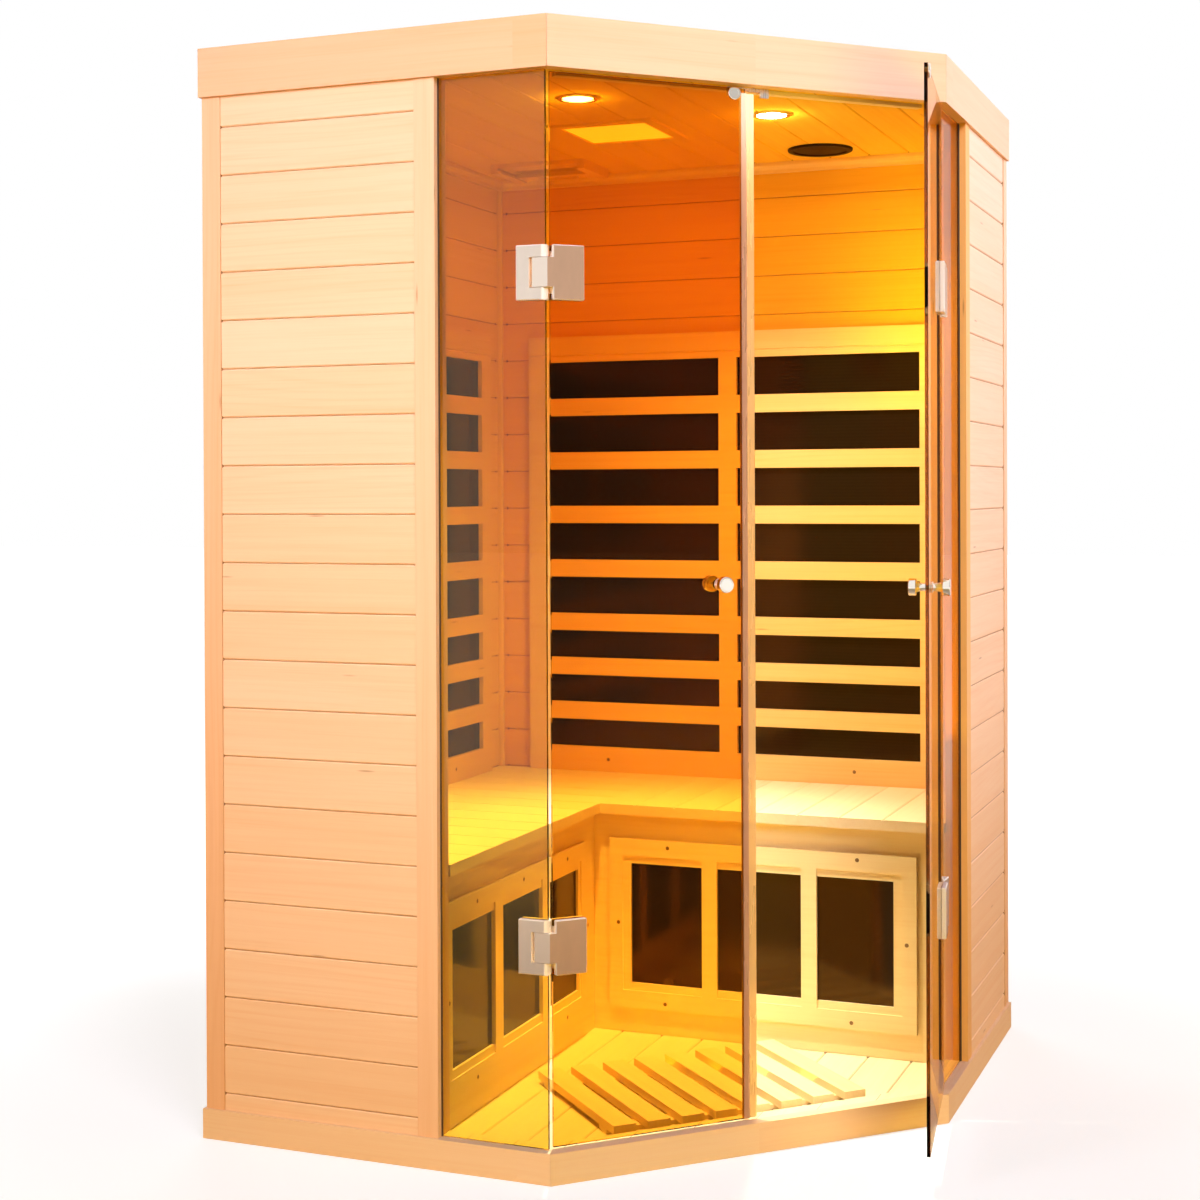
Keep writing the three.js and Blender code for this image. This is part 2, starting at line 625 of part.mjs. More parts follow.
// Outline of a knob from the glass outwards: foot, tapered neck and wide cap, with an optional bore
function knobProfile(start) {
  const capStart = KNOB_FOOT_LENGTH + KNOB_NECK_LENGTH;
  const end = capStart + KNOB_CAP_LENGTH;
  return [
    ...start, [KNOB_FOOT_RADIUS, 0], [KNOB_FOOT_RADIUS, KNOB_FOOT_LENGTH],
    [KNOB_NECK_RADIUS, KNOB_FOOT_LENGTH], [KNOB_SHOULDER_RADIUS, capStart],
    [KNOB_CAP_RADIUS - KNOB_CAP_CHAMFER, capStart], [KNOB_CAP_RADIUS, capStart + KNOB_CAP_CHAMFER],
    [KNOB_CAP_RADIUS, end - KNOB_CAP_CHAMFER], [KNOB_CAP_RADIUS - KNOB_CAP_CHAMFER, end], [0, end],
  ];
}

// Outer knob with the stud that passes through the glass
function outerKnob() {
  const base = new THREE.Vector3(KNOB_PLACE.x, -GLASS_HALF - SEAT_GAP, KNOB_PLACE.z);
  const reach = GLASS_THICKNESS + 2 * SEAT_GAP + STUD_GRIP;
  return turning(knobProfile([[0, -reach], [STUD_RADIUS, -reach], [STUD_RADIUS, 0]]), base, OUTWARDS);
}

// Inner knob, bored for the end of the stud
function innerKnob() {
  const base = new THREE.Vector3(KNOB_PLACE.x, GLASS_HALF + SEAT_GAP, KNOB_PLACE.z);
  const bore = STUD_RADIUS + SEAT_GAP;
  const depth = STUD_GRIP + SEAT_GAP;
  return turning(knobProfile([[0, depth], [bore, depth], [bore, 0]]), base, INWARDS);
}

// Steel disc on the outside of the door, whose shank comes through the glass to meet the magnet
function strike() {
  const base = new THREE.Vector3(STRIKE_PLACE.x, -GLASS_HALF - SEAT_GAP, STRIKE_PLACE.z);
  const reach = GLASS_THICKNESS + SEAT_GAP + STRIKE_SHANK_PROUD;
  const rim = STRIKE_RADIUS - STRIKE_THICKNESS / 2;
  return turning([
    [0, -reach], [STRIKE_SHANK_RADIUS, -reach], [STRIKE_SHANK_RADIUS, 0], [STRIKE_RADIUS, 0],
    [STRIKE_RADIUS, STRIKE_THICKNESS / 2], [rim, STRIKE_THICKNESS], [0, STRIKE_THICKNESS],
  ], base, OUTWARDS);
}

// Two lugs with magnets on one strip along the head stop, facing the two strikes
function magneticCatch() {
  const near = GLASS_HALF + STRIKE_SHANK_PROUD + CATCH_AIR_GAP;
  const depth = [near, near + CATCH_DEPTH];
  const far = DOOR_SPAN - STRIKE_PLACE.x;
  const lug = (x) => block(around(x, CATCH_LUG), depth, [WALL_TOP - CATCH_HEIGHT, WALL_TOP]);
  const strip = block([STRIKE_PLACE.x, far], depth, [WALL_TOP - HEADER_HEIGHT, WALL_TOP]);
  return onDoor(strip.add(lug(STRIKE_PLACE.x)).add(lug(far)));
}

// Wooden stop behind the tops of the doors
function headerStop() {
  const near = GLASS_HALF + STRIKE_SHANK_PROUD + CATCH_AIR_GAP + CATCH_DEPTH + SEAT_GAP;
  return onDoor(block(
    [HEADER_END_GAP, DOOR_SPAN - HEADER_END_GAP], [near, near + HEADER_THICKNESS],
    [WALL_TOP - HEADER_HEIGHT, WALL_TOP],
  ));
}

// Strip on the free edge of the left door: a channel round the glass and a fin that closes the gap
function doorSeal() {
  const inside = GLASS_HALF + SEAT_GAP;
  const outside = inside + SEAL_WALL;
  const grip = DOOR_EDGE - SEAL_GRIP;
  const seat = DOOR_EDGE + SEAT_GAP;
  const back = seat + SEAL_WALL;
  const fin = SEAL_FIN_THICKNESS / 2;
  const tip = DOOR_EDGE + SEAL_FIN;
  return onDoor(prism('z', [
    [grip, -outside], [back, -outside], [back, -fin], [tip - fin, -fin], [tip, 0], [tip - fin, fin],
    [back, fin], [back, outside], [grip, outside], [grip, inside], [seat, inside],
    [seat, -inside], [grip, -inside],
  ], [DOOR_BOTTOM + SEAT_GAP, DOOR_TOP - SEAL_END_GAP]));
}

// Heights of the guard's windows, from the bench upwards: short ones behind the back, tall ones above
function guardRows() {
  const rows = [];
  let low = BENCH_HEIGHT + SEAT_GAP + GUARD_BOTTOM_RAIL;
  for (let row = 0; row < SHORT_ROWS + TALL_ROWS; row += 1) {
    const high = low + (row < SHORT_ROWS ? SHORT_WINDOW : TALL_WINDOW);
    rows.push([low, high]);
    low = high + GUARD_SLAT;
  }
  return rows;
}

function guardLevels() {
  return [BENCH_HEIGHT + SEAT_GAP, guardRows().at(-1)[1] + GUARD_TOP_RAIL];
}

function heaterSpan(margin) {
  const [low, high] = guardLevels();
  const half = GUARD_HALF - margin;
  return { width: [-half, half], height: [low + margin, high - margin] };
}

// Slatted wooden guard against the side wall, with a pocket behind it for the heater panel
function sideGuard() {
  const half = GUARD_HALF;
  const columns = [[GUARD_STILE - half, -GUARD_MULLION / 2], [GUARD_MULLION / 2, half - GUARD_STILE]];
  const windows = guardRows().flatMap((row) => columns.map((column) => rectangle(column, row)));
  const levels = guardLevels();
  const back = -ROOM_EDGE;
  const face = back + GUARD_THICKNESS;
  const board = prism('x', rectangle([-half, half], levels), [back, face], windows);
  const pocket = heaterSpan(HEATER_MARGIN);
  const depth = [back - CUT_OVERSHOOT, back + HEATER_THICKNESS + SEAT_GAP];
  const line = capLine(face, levels[1] - GUARD_CAP);
  return board.subtract(block(depth, pocket.width, pocket.height)).subtract(line);
}

// Groove along the guard's face, below its cap board
function capLine(face, level) {
  const half = GROOVE_WIDTH / 2;
  const flare = half * (1 + CUT_OVERSHOOT / GROOVE_DEPTH);
  const open = face + CUT_OVERSHOOT;
  const section = [[level - flare, open], [level, face - GROOVE_DEPTH], [level + flare, open]];
  return prism('y', section, [-HALF, HALF]);
}

function sideHeater() {
  const span = heaterSpan(HEATER_MARGIN + SEAT_GAP);
  return block([-ROOM_EDGE, HEATER_THICKNESS - ROOM_EDGE], span.width, span.height);
}

// Distance from the plan's centre to the seat edge of a bench arm, and to the face of its front board
function armEdge(arm) {
  return ROOM_FACE - arm.depth;
}

function armFace(arm) {
  return armEdge(arm) + BENCH_FRONT_SETBACK;
}

// Bench top along the rear wall, of boards that run front to back, with a cleat at the wall
function benchTop(arm, length) {
  const joints = boardJoints(...length, arm.firstBoard);
  const section = boardSection([BENCH_UNDERSIDE, BENCH_HEIGHT], length, [], joints);
  const cleatDepth = [ROOM_EDGE - BENCH_CLEAT, ROOM_EDGE];
  const cleat = block(length, cleatDepth, [BENCH_UNDERSIDE - BENCH_CLEAT, BENCH_UNDERSIDE + CUT_OVERSHOOT]);
  return prism('y', section, [armEdge(arm), ROOM_EDGE]).add(cleat);
}

// Span along the wall of the frame in a bench arm's front, up to the front of the other arm
function calfFrameSpan(arm, otherArm) {
  return [arm.frameFromWall - ROOM_FACE, armFace(otherArm) - arm.frameFromCorner];
}

// Outline of the calf heater, or of the hole that holds it
function calfHeaterOutline(arm, otherArm, grow = 0) {
  const [far, near] = calfFrameSpan(arm, otherArm);
  const margin = CALF_HEATER_MARGIN - grow;
  return rectangle([far + margin, near - margin], [CALF_FRAME_BOTTOM + margin, CALF_FRAME_TOP - margin]);
}

// Three windows in the frame, by their spans along the wall and their height
function calfWindows(arm, otherArm) {
  const [far, near] = calfFrameSpan(arm, otherArm);
  const outer = (near - far - arm.centreWindow) / 2 - arm.stile - arm.mullion;
  const height = [CALF_FRAME_BOTTOM + CALF_RAIL, CALF_FRAME_TOP - CALF_RAIL];
  let start = far + arm.stile;
  return [outer + arm.windowShift, arm.centreWindow, outer - arm.windowShift].map((width) => {
    const span = [start, start + width];
    start += width + arm.mullion;
    return rectangle(span, height);
  });
}

// Low bars round the windows, inside the frame and set back from its face
function calfBars(arm, otherArm) {
  const [far, near] = calfFrameSpan(arm, otherArm);
  const depth = [-armFace(arm), CALF_BAR_THICKNESS - armFace(arm)];
  const bottom = CALF_FRAME_BOTTOM + CALF_RAIL;
  const top = CALF_FRAME_TOP - CALF_RAIL;
  const start = far + arm.stile;
  const end = near - arm.stile;
  const level = [[bottom, bottom + CALF_BAR_HEIGHT], [top - CALF_BAR_HEIGHT, top]].map(
    (height) => block(depth, [start, end], height),
  );
  const upright = [[start, start + arm.endBar], [end - arm.endBar, end]].map(
    (span) => block(depth, span, [bottom, top]),
  );
  return [...level, ...upright];
}

// Front board of the side bench, with a raised frame round the windows of its heater
function benchFront(arm, otherArm, cornerEnd) {
  const face = -armFace(arm);
  const board = rectangle([-ROOM_EDGE, cornerEnd], [FLOOR_TOP + SEAT_GAP, BENCH_UNDERSIDE - SEAT_GAP]);
  const frame = rectangle(calfFrameSpan(arm, otherArm), [CALF_FRAME_BOTTOM, CALF_FRAME_TOP]);
  const hole = calfHeaterOutline(arm, otherArm, SEAT_GAP);
  const raised = prism('x', frame, [face, face + CALF_FRAME_THICKNESS], calfWindows(arm, otherArm));
  return [raised, ...calfBars(arm, otherArm)].reduce(
    (all, piece) => all.add(piece), prism('x', board, [face - BENCH_FRONT_THICKNESS, face], [hole]),
  );
}

function calfHeater(arm, otherArm) {
  const face = -armFace(arm) - SEAT_GAP;
  return prism('x', calfHeaterOutline(arm, otherArm), [face - HEATER_THICKNESS, face]);
}

// Slats that run away from the doors, nailed to two battens
function duckboard() {
  const front = DUCK_FROM_FRONT - GLASS_INSET;
  const run = [front, front + DUCK_LENGTH];
  const battenTop = FLOOR_TOP + SEAT_GAP + DUCK_BATTEN_THICKNESS;
  const first = DOOR_SPAN / 2 - DUCK_PITCH * (DUCK_SLATS - 1) / 2;
  const slats = Array.from({ length: DUCK_SLATS }, (_, slat) => block(
    around(first + slat * DUCK_PITCH, DUCK_SLAT_WIDTH), run, [battenTop, battenTop + DUCK_SLAT_THICKNESS],
  ));
  const across = around(DOOR_SPAN / 2, DUCK_PITCH * (DUCK_SLATS - 1) + DUCK_SLAT_WIDTH);
  const battens = [run[0] + DUCK_BATTEN_INSET, run[1] - DUCK_BATTEN_INSET].map((place) => block(
    across, around(place, DUCK_BATTEN_WIDTH), [FLOOR_TOP + SEAT_GAP, battenTop],
  ));
  return onDoor([...slats, ...battens].reduce((all, piece) => all.add(piece)));
}

// Lit panel set in its wooden frame
function lampPanel() {
  const levels = [CEILING_BOTTOM - SEAT_GAP - LAMP_THICKNESS, CEILING_BOTTOM - SEAT_GAP];
  const depth = around(LAMP_PLACE.y, LAMP_WIDTH);
  return easedBlock(around(LAMP_PLACE.x, LAMP_WIDTH), depth, levels, LAMP_CHAMFER);
}

// Downlight: a rim under the ceiling, a body through it, and a cone that leads up to the lens
function downlight() {
  const base = new THREE.Vector3(DOWNLIGHT_PLACE.x, DOWNLIGHT_PLACE.y, CEILING_BOTTOM - SEAT_GAP);
  return turning([
    [0, DOWNLIGHT_RECESS - DOWNLIGHT_RIM], [DOWNLIGHT_LENS_RADIUS, DOWNLIGHT_RECESS - DOWNLIGHT_RIM],
    [DOWNLIGHT_BODY_RADIUS, -DOWNLIGHT_RIM], [DOWNLIGHT_RIM_RADIUS - DOWNLIGHT_RIM / 2, -DOWNLIGHT_RIM],
    [DOWNLIGHT_RIM_RADIUS, -DOWNLIGHT_RIM / 2], [DOWNLIGHT_RIM_RADIUS, 0], [DOWNLIGHT_BODY_RADIUS, 0],
    [DOWNLIGHT_BODY_RADIUS, DOWNLIGHT_BODY], [0, DOWNLIGHT_BODY],
  ], base, UPWARDS);
}

// Round loudspeaker: a rim, a grille with concentric grooves, and a body above the ceiling
function speaker() {
  const base = new THREE.Vector3(SPEAKER_PLACE.x, SPEAKER_PLACE.y, CEILING_BOTTOM - SEAT_GAP);
  const pitch = SPEAKER_BODY_RADIUS / (SPEAKER_RINGS + 1);
  const rings = Array.from({ length: SPEAKER_RINGS }, (_, ring) => {
    const radius = (ring + 1) * pitch;
    const depth = SPEAKER_RING_DEPTH;
    return [[radius - depth, -SPEAKER_RIM], [radius, depth - SPEAKER_RIM], [radius + depth, -SPEAKER_RIM]];
  }).flat();
  return turning([
    [0, -SPEAKER_RIM], ...rings, [SPEAKER_RIM_RADIUS - SPEAKER_RIM, -SPEAKER_RIM],
    [SPEAKER_RIM_RADIUS, -SPEAKER_RIM / 2], [SPEAKER_RIM_RADIUS, 0], [SPEAKER_BODY_RADIUS, 0],
    [SPEAKER_BODY_RADIUS, SPEAKER_BODY], [0, SPEAKER_BODY],
  ], base, UPWARDS, FINE_STEPS);
}

const VENT_TOP = CEILING_BOTTOM - SEAT_GAP;
const VENT_BOARD_BOTTOM = VENT_TOP - VENT_BOARD;
const SLIDER_TOP = VENT_BOARD_BOTTOM - VENT_RUNNING_GAP;
const SLIDER_BOTTOM = SLIDER_TOP - VENT_SLIDER_THICKNESS;
const VENT_BACK = VENT_PLACE.y + VENT_WIDTH / 2;

// Board with the air slot, and two lipped rails that carry the slider under it
function ventFrame() {
  const sides = around(VENT_PLACE.y, VENT_WIDTH);
  const [start, end] = around(VENT_PLACE.x, VENT_LENGTH);
  const lipTop = SLIDER_BOTTOM - VENT_RUNNING_GAP;
  const railHeight = [lipTop - VENT_LIP_THICKNESS, VENT_BOARD_BOTTOM + CUT_OVERSHOOT];
  const lipHeight = [lipTop - VENT_LIP_THICKNESS, lipTop];
  const board = block([start, end], sides, [VENT_BOARD_BOTTOM, VENT_TOP]);
  return board
    .add(block([start, start + VENT_RAIL], sides, railHeight))
    .add(block([end - VENT_RAIL, end], sides, railHeight))
    .add(block([start, start + VENT_RAIL + VENT_LIP], sides, lipHeight))
    .add(block([end - VENT_RAIL - VENT_LIP, end], sides, lipHeight))
    .subtract(ventSlot([VENT_BOARD_BOTTOM - CUT_OVERSHOOT, VENT_TOP + CUT_OVERSHOOT]));
}

// Sliding shutter with a grip, pushed back clear of the slot
function ventSlider() {
  const length = VENT_LENGTH - 2 * VENT_RAIL - 2 * VENT_RUNNING_GAP;
  const depth = [VENT_BACK - VENT_SLIDER_WIDTH, VENT_BACK];
  const middle = VENT_BACK - VENT_SLIDER_WIDTH / 2;
  const grip = [SLIDER_BOTTOM - VENT_GRIP_HEIGHT, SLIDER_BOTTOM + CUT_OVERSHOOT];
  return block(around(VENT_PLACE.x, length), depth, [SLIDER_BOTTOM, SLIDER_TOP])
    .add(block(around(VENT_PLACE.x, VENT_GRIP_LENGTH), around(middle, VENT_GRIP_WIDTH), grip));
}

// Steel box on top of the ceiling that feeds the heaters and lamps, with a cable gland under the roof
function powerUnit() {
  const levels = [CEILING_TOP + SEAT_GAP, CEILING_TOP + SEAT_GAP + UNIT_HEIGHT];
  const gland = [levels[1] - CUT_OVERSHOOT, HEIGHT - GLAND_BELOW_ROOF];
  return easedBlock(around(UNIT_PLACE.x, UNIT_LENGTH), around(UNIT_PLACE.y, UNIT_WIDTH), levels, UNIT_CHAMFER)
    .add(cylinder(UNIT_PLACE, GLAND_RADIUS, gland));
}

// Finishes
const FINISHES = {
  paleWood: { color: 0xe8c196, roughness: 0.6, metalness: 0 },
  warmWood: { color: 0xe0ad72, roughness: 0.6, metalness: 0 },
  tintedGlass: { color: 0x8a6a4a, roughness: 0.05, metalness: 0, transparent: true, opacity: 0.3 },
  satinSteel: { color: 0xd2cdc6, roughness: 0.3, metalness: 0.9 },
  chrome: { color: 0xe6e6e8, roughness: 0.08, metalness: 1 },
  clearPlastic: { color: 0xf0dcc8, roughness: 0.3, metalness: 0, transparent: true, opacity: 0.6 },
  heaterBlack: { color: 0x1a1210, roughness: 0.25, metalness: 0 },
  blackPlastic: { color: 0x1c1a19, roughness: 0.5, metalness: 0 },
  lampWhite: { color: 0xfff0c8, roughness: 0.4, metalness: 0, emissive: 0xffd890 },
  greySteel: { color: 0x8f9396, roughness: 0.5, metalness: 0.6 },
};

function meshOf(name, geometry, finish) {
  const mesh = new THREE.Mesh(geometry, new THREE.MeshStandardMaterial(FINISHES[finish]));
  mesh.name = name;
  return mesh;
}

const cabin = new THREE.Group();

function fix(name, solid, finish) {
  cabin.add(meshOf(name, geometryOf(solid), finish));
}

// A door's group turns about its hinge axis; its pieces are drawn closed
function hangDoor(axis, swing, pieces) {
  const door = new THREE.Group();
  door.position.set(axis.x, axis.y, 0);
  door.rotation.z = swing;
  for (const [name, solid, finish] of pieces) {
    door.add(meshOf(name, geometryOf(solid).translate(-axis.x, -axis.y, 0), finish));
  }
  cabin.add(door);
}

function addShell() {
  const plinth = [0, PLINTH_HEIGHT];
  const cornice = [CORNICE_BOTTOM, HEIGHT];
  fix('floor_panel', floorPanel(), 'paleWood');
  fix('plinth_left', leftStrip(PLINTH_THICKNESS, plinth), 'paleWood');
  fix('plinth_front', frontStrip(PLINTH_THICKNESS, plinth), 'paleWood');
  fix('plinth_right', mirrored(leftStrip(PLINTH_THICKNESS, plinth)), 'paleWood');
  fix('cornice_left', leftStrip(CORNICE_THICKNESS, cornice), 'paleWood');
  fix('cornice_front', frontStrip(CORNICE_THICKNESS, cornice), 'paleWood');
  fix('cornice_right', mirrored(leftStrip(CORNICE_THICKNESS, cornice)), 'paleWood');
  fix('ceiling_panel', ceilingPanel(), 'warmWood');
  fix('roof_cover', roofCover(), 'paleWood');
}

function addWalls() {
  fix('left_corner_post', leftCornerPost(), 'paleWood');
  fix('left_panel', leftPanel(), 'paleWood');
  fix('left_jamb_post', leftJambPost(), 'paleWood');
  fix('right_jamb_post', mirrored(leftJambPost()), 'paleWood');
  fix('right_panel', mirrored(leftPanel()), 'paleWood');
  fix('right_corner_post', mirrored(leftCornerPost()), 'paleWood');
  fix('rear_panel', rearPanel([-ROOM_EDGE, ROOM_EDGE]), 'warmWood');
  fix('side_panel', sidePanel(), 'warmWood');
  fix('left_fixed_glass', leftPane(), 'tintedGlass');
  fix('right_fixed_glass', mirrored(leftPane()), 'tintedGlass');
  fix('header_stop', headerStop(), 'paleWood');
  fix('magnetic_catch', magneticCatch(), 'satinSteel');
}

function addHeatersAndBench() {
  fix('side_heater_guard', sideGuard(), 'warmWood');
  fix('rear_heater_guard', mirrored(sideGuard()), 'warmWood');
  fix('side_heater', sideHeater(), 'heaterBlack');
  fix('rear_heater', mirrored(sideHeater()), 'heaterBlack');
  fix('side_bench_top', mirrored(benchTop(SIDE_ARM, [-ROOM_EDGE, ROOM_EDGE])), 'warmWood');
  fix('rear_bench_top', benchTop(REAR_ARM, [SEAT_GAP - armEdge(SIDE_ARM), ROOM_EDGE]), 'warmWood');
  const sideEnd = armFace(REAR_ARM) + BENCH_FRONT_THICKNESS;
  const rearEnd = armFace(SIDE_ARM) - SEAT_GAP;
  fix('side_bench_front', benchFront(SIDE_ARM, REAR_ARM, sideEnd), 'warmWood');
  fix('rear_bench_front', mirrored(benchFront(REAR_ARM, SIDE_ARM, rearEnd)), 'warmWood');
  fix('side_calf_heater', calfHeater(SIDE_ARM, REAR_ARM), 'heaterBlack');
  fix('rear_calf_heater', mirrored(calfHeater(REAR_ARM, SIDE_ARM)), 'heaterBlack');
  fix('duckboard', duckboard(), 'paleWood');
}

function addCeilingFittings() {
  fix('lamp_panel', lampPanel(), 'lampWhite');
  fix('left_downlight', downlight(), 'chrome');
  fix('right_downlight', mirrored(downlight()), 'chrome');
  fix('speaker', speaker(), 'blackPlastic');
  fix('vent_frame', ventFrame(), 'warmWood');
  fix('vent_slider', ventSlider(), 'warmWood');
  fix('power_unit', powerUnit(), 'greySteel');
}

function addFixedHingeParts() {
  for (const [place, level] of Object.entries(HINGE_LEVELS)) {
    fix(`left_${place}_hinge_fixed_leaf`, fixedLeaf(level), 'satinSteel');
    fix(`left_${place}_hinge_pin`, hingePin(level), 'satinSteel');
    fix(`right_${place}_hinge_fixed_leaf`, mirrored(fixedLeaf(level)), 'satinSteel');
    fix(`right_${place}_hinge_pin`, mirrored(hingePin(level)), 'satinSteel');
  }
}

function doorPieces(side, sideOf) {
  const leaves = Object.entries(HINGE_LEVELS).map(
    ([place, level]) => [`${side}_${place}_hinge_door_leaf`, sideOf(doorLeaf(level)), 'satinSteel'],
  );
  return [
    [`${side}_door_glass`, sideOf(onDoor(doorPane())), 'tintedGlass'],
    [`${side}_outer_knob`, sideOf(onDoor(outerKnob())), 'chrome'],
    [`${side}_inner_knob`, sideOf(onDoor(innerKnob())), 'chrome'],
    [`${side}_strike`, sideOf(onDoor(strike())), 'chrome'],
    ...leaves,
  ];
}

function addDoors() {
  const seal = ['left_door_seal', doorSeal(), 'clearPlastic'];
  hangDoor(AXIS, 0, [...doorPieces('left', (solid) => solid), seal]);
  const rightAxis = { x: -AXIS.y, y: -AXIS.x };
  hangDoor(rightAxis, THREE.MathUtils.degToRad(RIGHT_DOOR_OPEN_DEG), doorPieces('right', mirrored));
}

addShell();
addWalls();
addHeatersAndBench();
addCeilingFittings();
addFixedHingeParts();
addDoors();

export default cabin;
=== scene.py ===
"""Looks of the corner infrared sauna cabin: materials, trim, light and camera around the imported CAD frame."""

import math

import bmesh
import bpy
from mathutils import Matrix, Vector


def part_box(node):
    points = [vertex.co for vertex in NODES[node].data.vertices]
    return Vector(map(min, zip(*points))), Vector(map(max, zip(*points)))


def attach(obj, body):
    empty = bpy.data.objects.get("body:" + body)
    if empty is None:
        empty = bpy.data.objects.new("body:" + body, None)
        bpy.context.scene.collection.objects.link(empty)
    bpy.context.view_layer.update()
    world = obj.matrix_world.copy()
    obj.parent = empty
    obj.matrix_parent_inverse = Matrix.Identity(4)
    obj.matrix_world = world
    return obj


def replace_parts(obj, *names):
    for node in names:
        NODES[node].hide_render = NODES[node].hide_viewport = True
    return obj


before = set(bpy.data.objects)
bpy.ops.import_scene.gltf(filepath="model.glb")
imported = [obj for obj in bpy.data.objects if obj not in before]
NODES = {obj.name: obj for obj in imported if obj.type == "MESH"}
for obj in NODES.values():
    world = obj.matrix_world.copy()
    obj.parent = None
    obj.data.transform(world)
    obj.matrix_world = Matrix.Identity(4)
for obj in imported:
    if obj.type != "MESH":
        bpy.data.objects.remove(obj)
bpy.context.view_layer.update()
SCENE = bpy.context.scene
SCENE.view_settings.view_transform = "Standard"

# Camera, fitted to the corners of the plinth and cornice (metres, degrees)
CAMERA_PLACE = (1.27934, -3.456415, 1.126509)
CAMERA_YAW = 21.474
CAMERA_PITCH = -0.369
CAMERA_ROLL = -0.215
CAMERA_LENS = 57.589
CAMERA_SHIFT = (-0.00267, -0.0800)

# Levels and planes of the CAD frame that the trim follows
ROOM = 0.55
PANEL_FACE = 0.5935
FLOOR_TOP = 0.040
CEILING = 1.835
BENCH_TOP = 0.500
BENCH_EDGE = 0.130
PLANK = 0.084
SEAL_STEP = -0.0088
DIAGONAL = math.radians(45)


def rgb(hex_code):
    """Linear colour, with alpha, from an sRGB hex code."""
    parts = [int(hex_code[i:i + 2], 16) / 255 for i in (0, 2, 4)]
    linear = [c / 12.92 if c <= 0.04045 else ((c + 0.055) / 1.055) ** 2.4 for c in parts]
    return (*linear, 1.0)


def add(tree, kind, inputs=None, **settings):
    """A new node with its settings, its input values and its links."""
    node = tree.nodes.new(kind)
    for key, value in settings.items():
        setattr(node, key, value)
    for key, value in (inputs or {}).items():
        if isinstance(value, bpy.types.NodeSocket):
            tree.links.new(value, node.inputs[key])
        else:
            node.inputs[key].default_value = value
    return node


def calc(tree, operation, first, second=0.0, third=0.0):
    return add(tree, "ShaderNodeMath", {0: first, 1: second, 2: third}, operation=operation).outputs[0]


def between(tree, value, low, high, start=0.0, end=1.0):
    """Smooth step of a value from low..high to start..end."""
    return add(tree, "ShaderNodeMapRange",
               {"Value": value, "From Min": low, "From Max": high, "To Min": start, "To Max": end},
               interpolation_type="SMOOTHSTEP").outputs["Result"]


def blend_colour(tree, share, first, second, mode="MIX"):
    node = add(tree, "ShaderNodeMix", data_type="RGBA", blend_type=mode)
    for index, value in ((0, share), (6, first), (7, second)):
        if isinstance(value, bpy.types.NodeSocket):
            tree.links.new(value, node.inputs[index])
        else:
            node.inputs[index].default_value = value
    return node.outputs[2]


def noise(tree, vector, detail=3.0, roughness=0.55, distortion=0.0):
    return add(tree, "ShaderNodeTexNoise",
               {"Vector": vector, "Scale": 1.0, "Detail": detail, "Roughness": roughness,
                "Distortion": distortion}).outputs["Fac"]


def new_material(name):
    material = bpy.data.materials.new(name)
    material.use_nodes = True
    tree = material.node_tree
    shader = next(n for n in tree.nodes if n.type == "BSDF_PRINCIPLED")
    return material, tree, shader


def bump(tree, shader, height, strength, distance):
    node = add(tree, "ShaderNodeBump", {"Height": height, "Strength": strength, "Distance": distance})
    tree.links.new(node.outputs["Normal"], shader.inputs["Normal"])


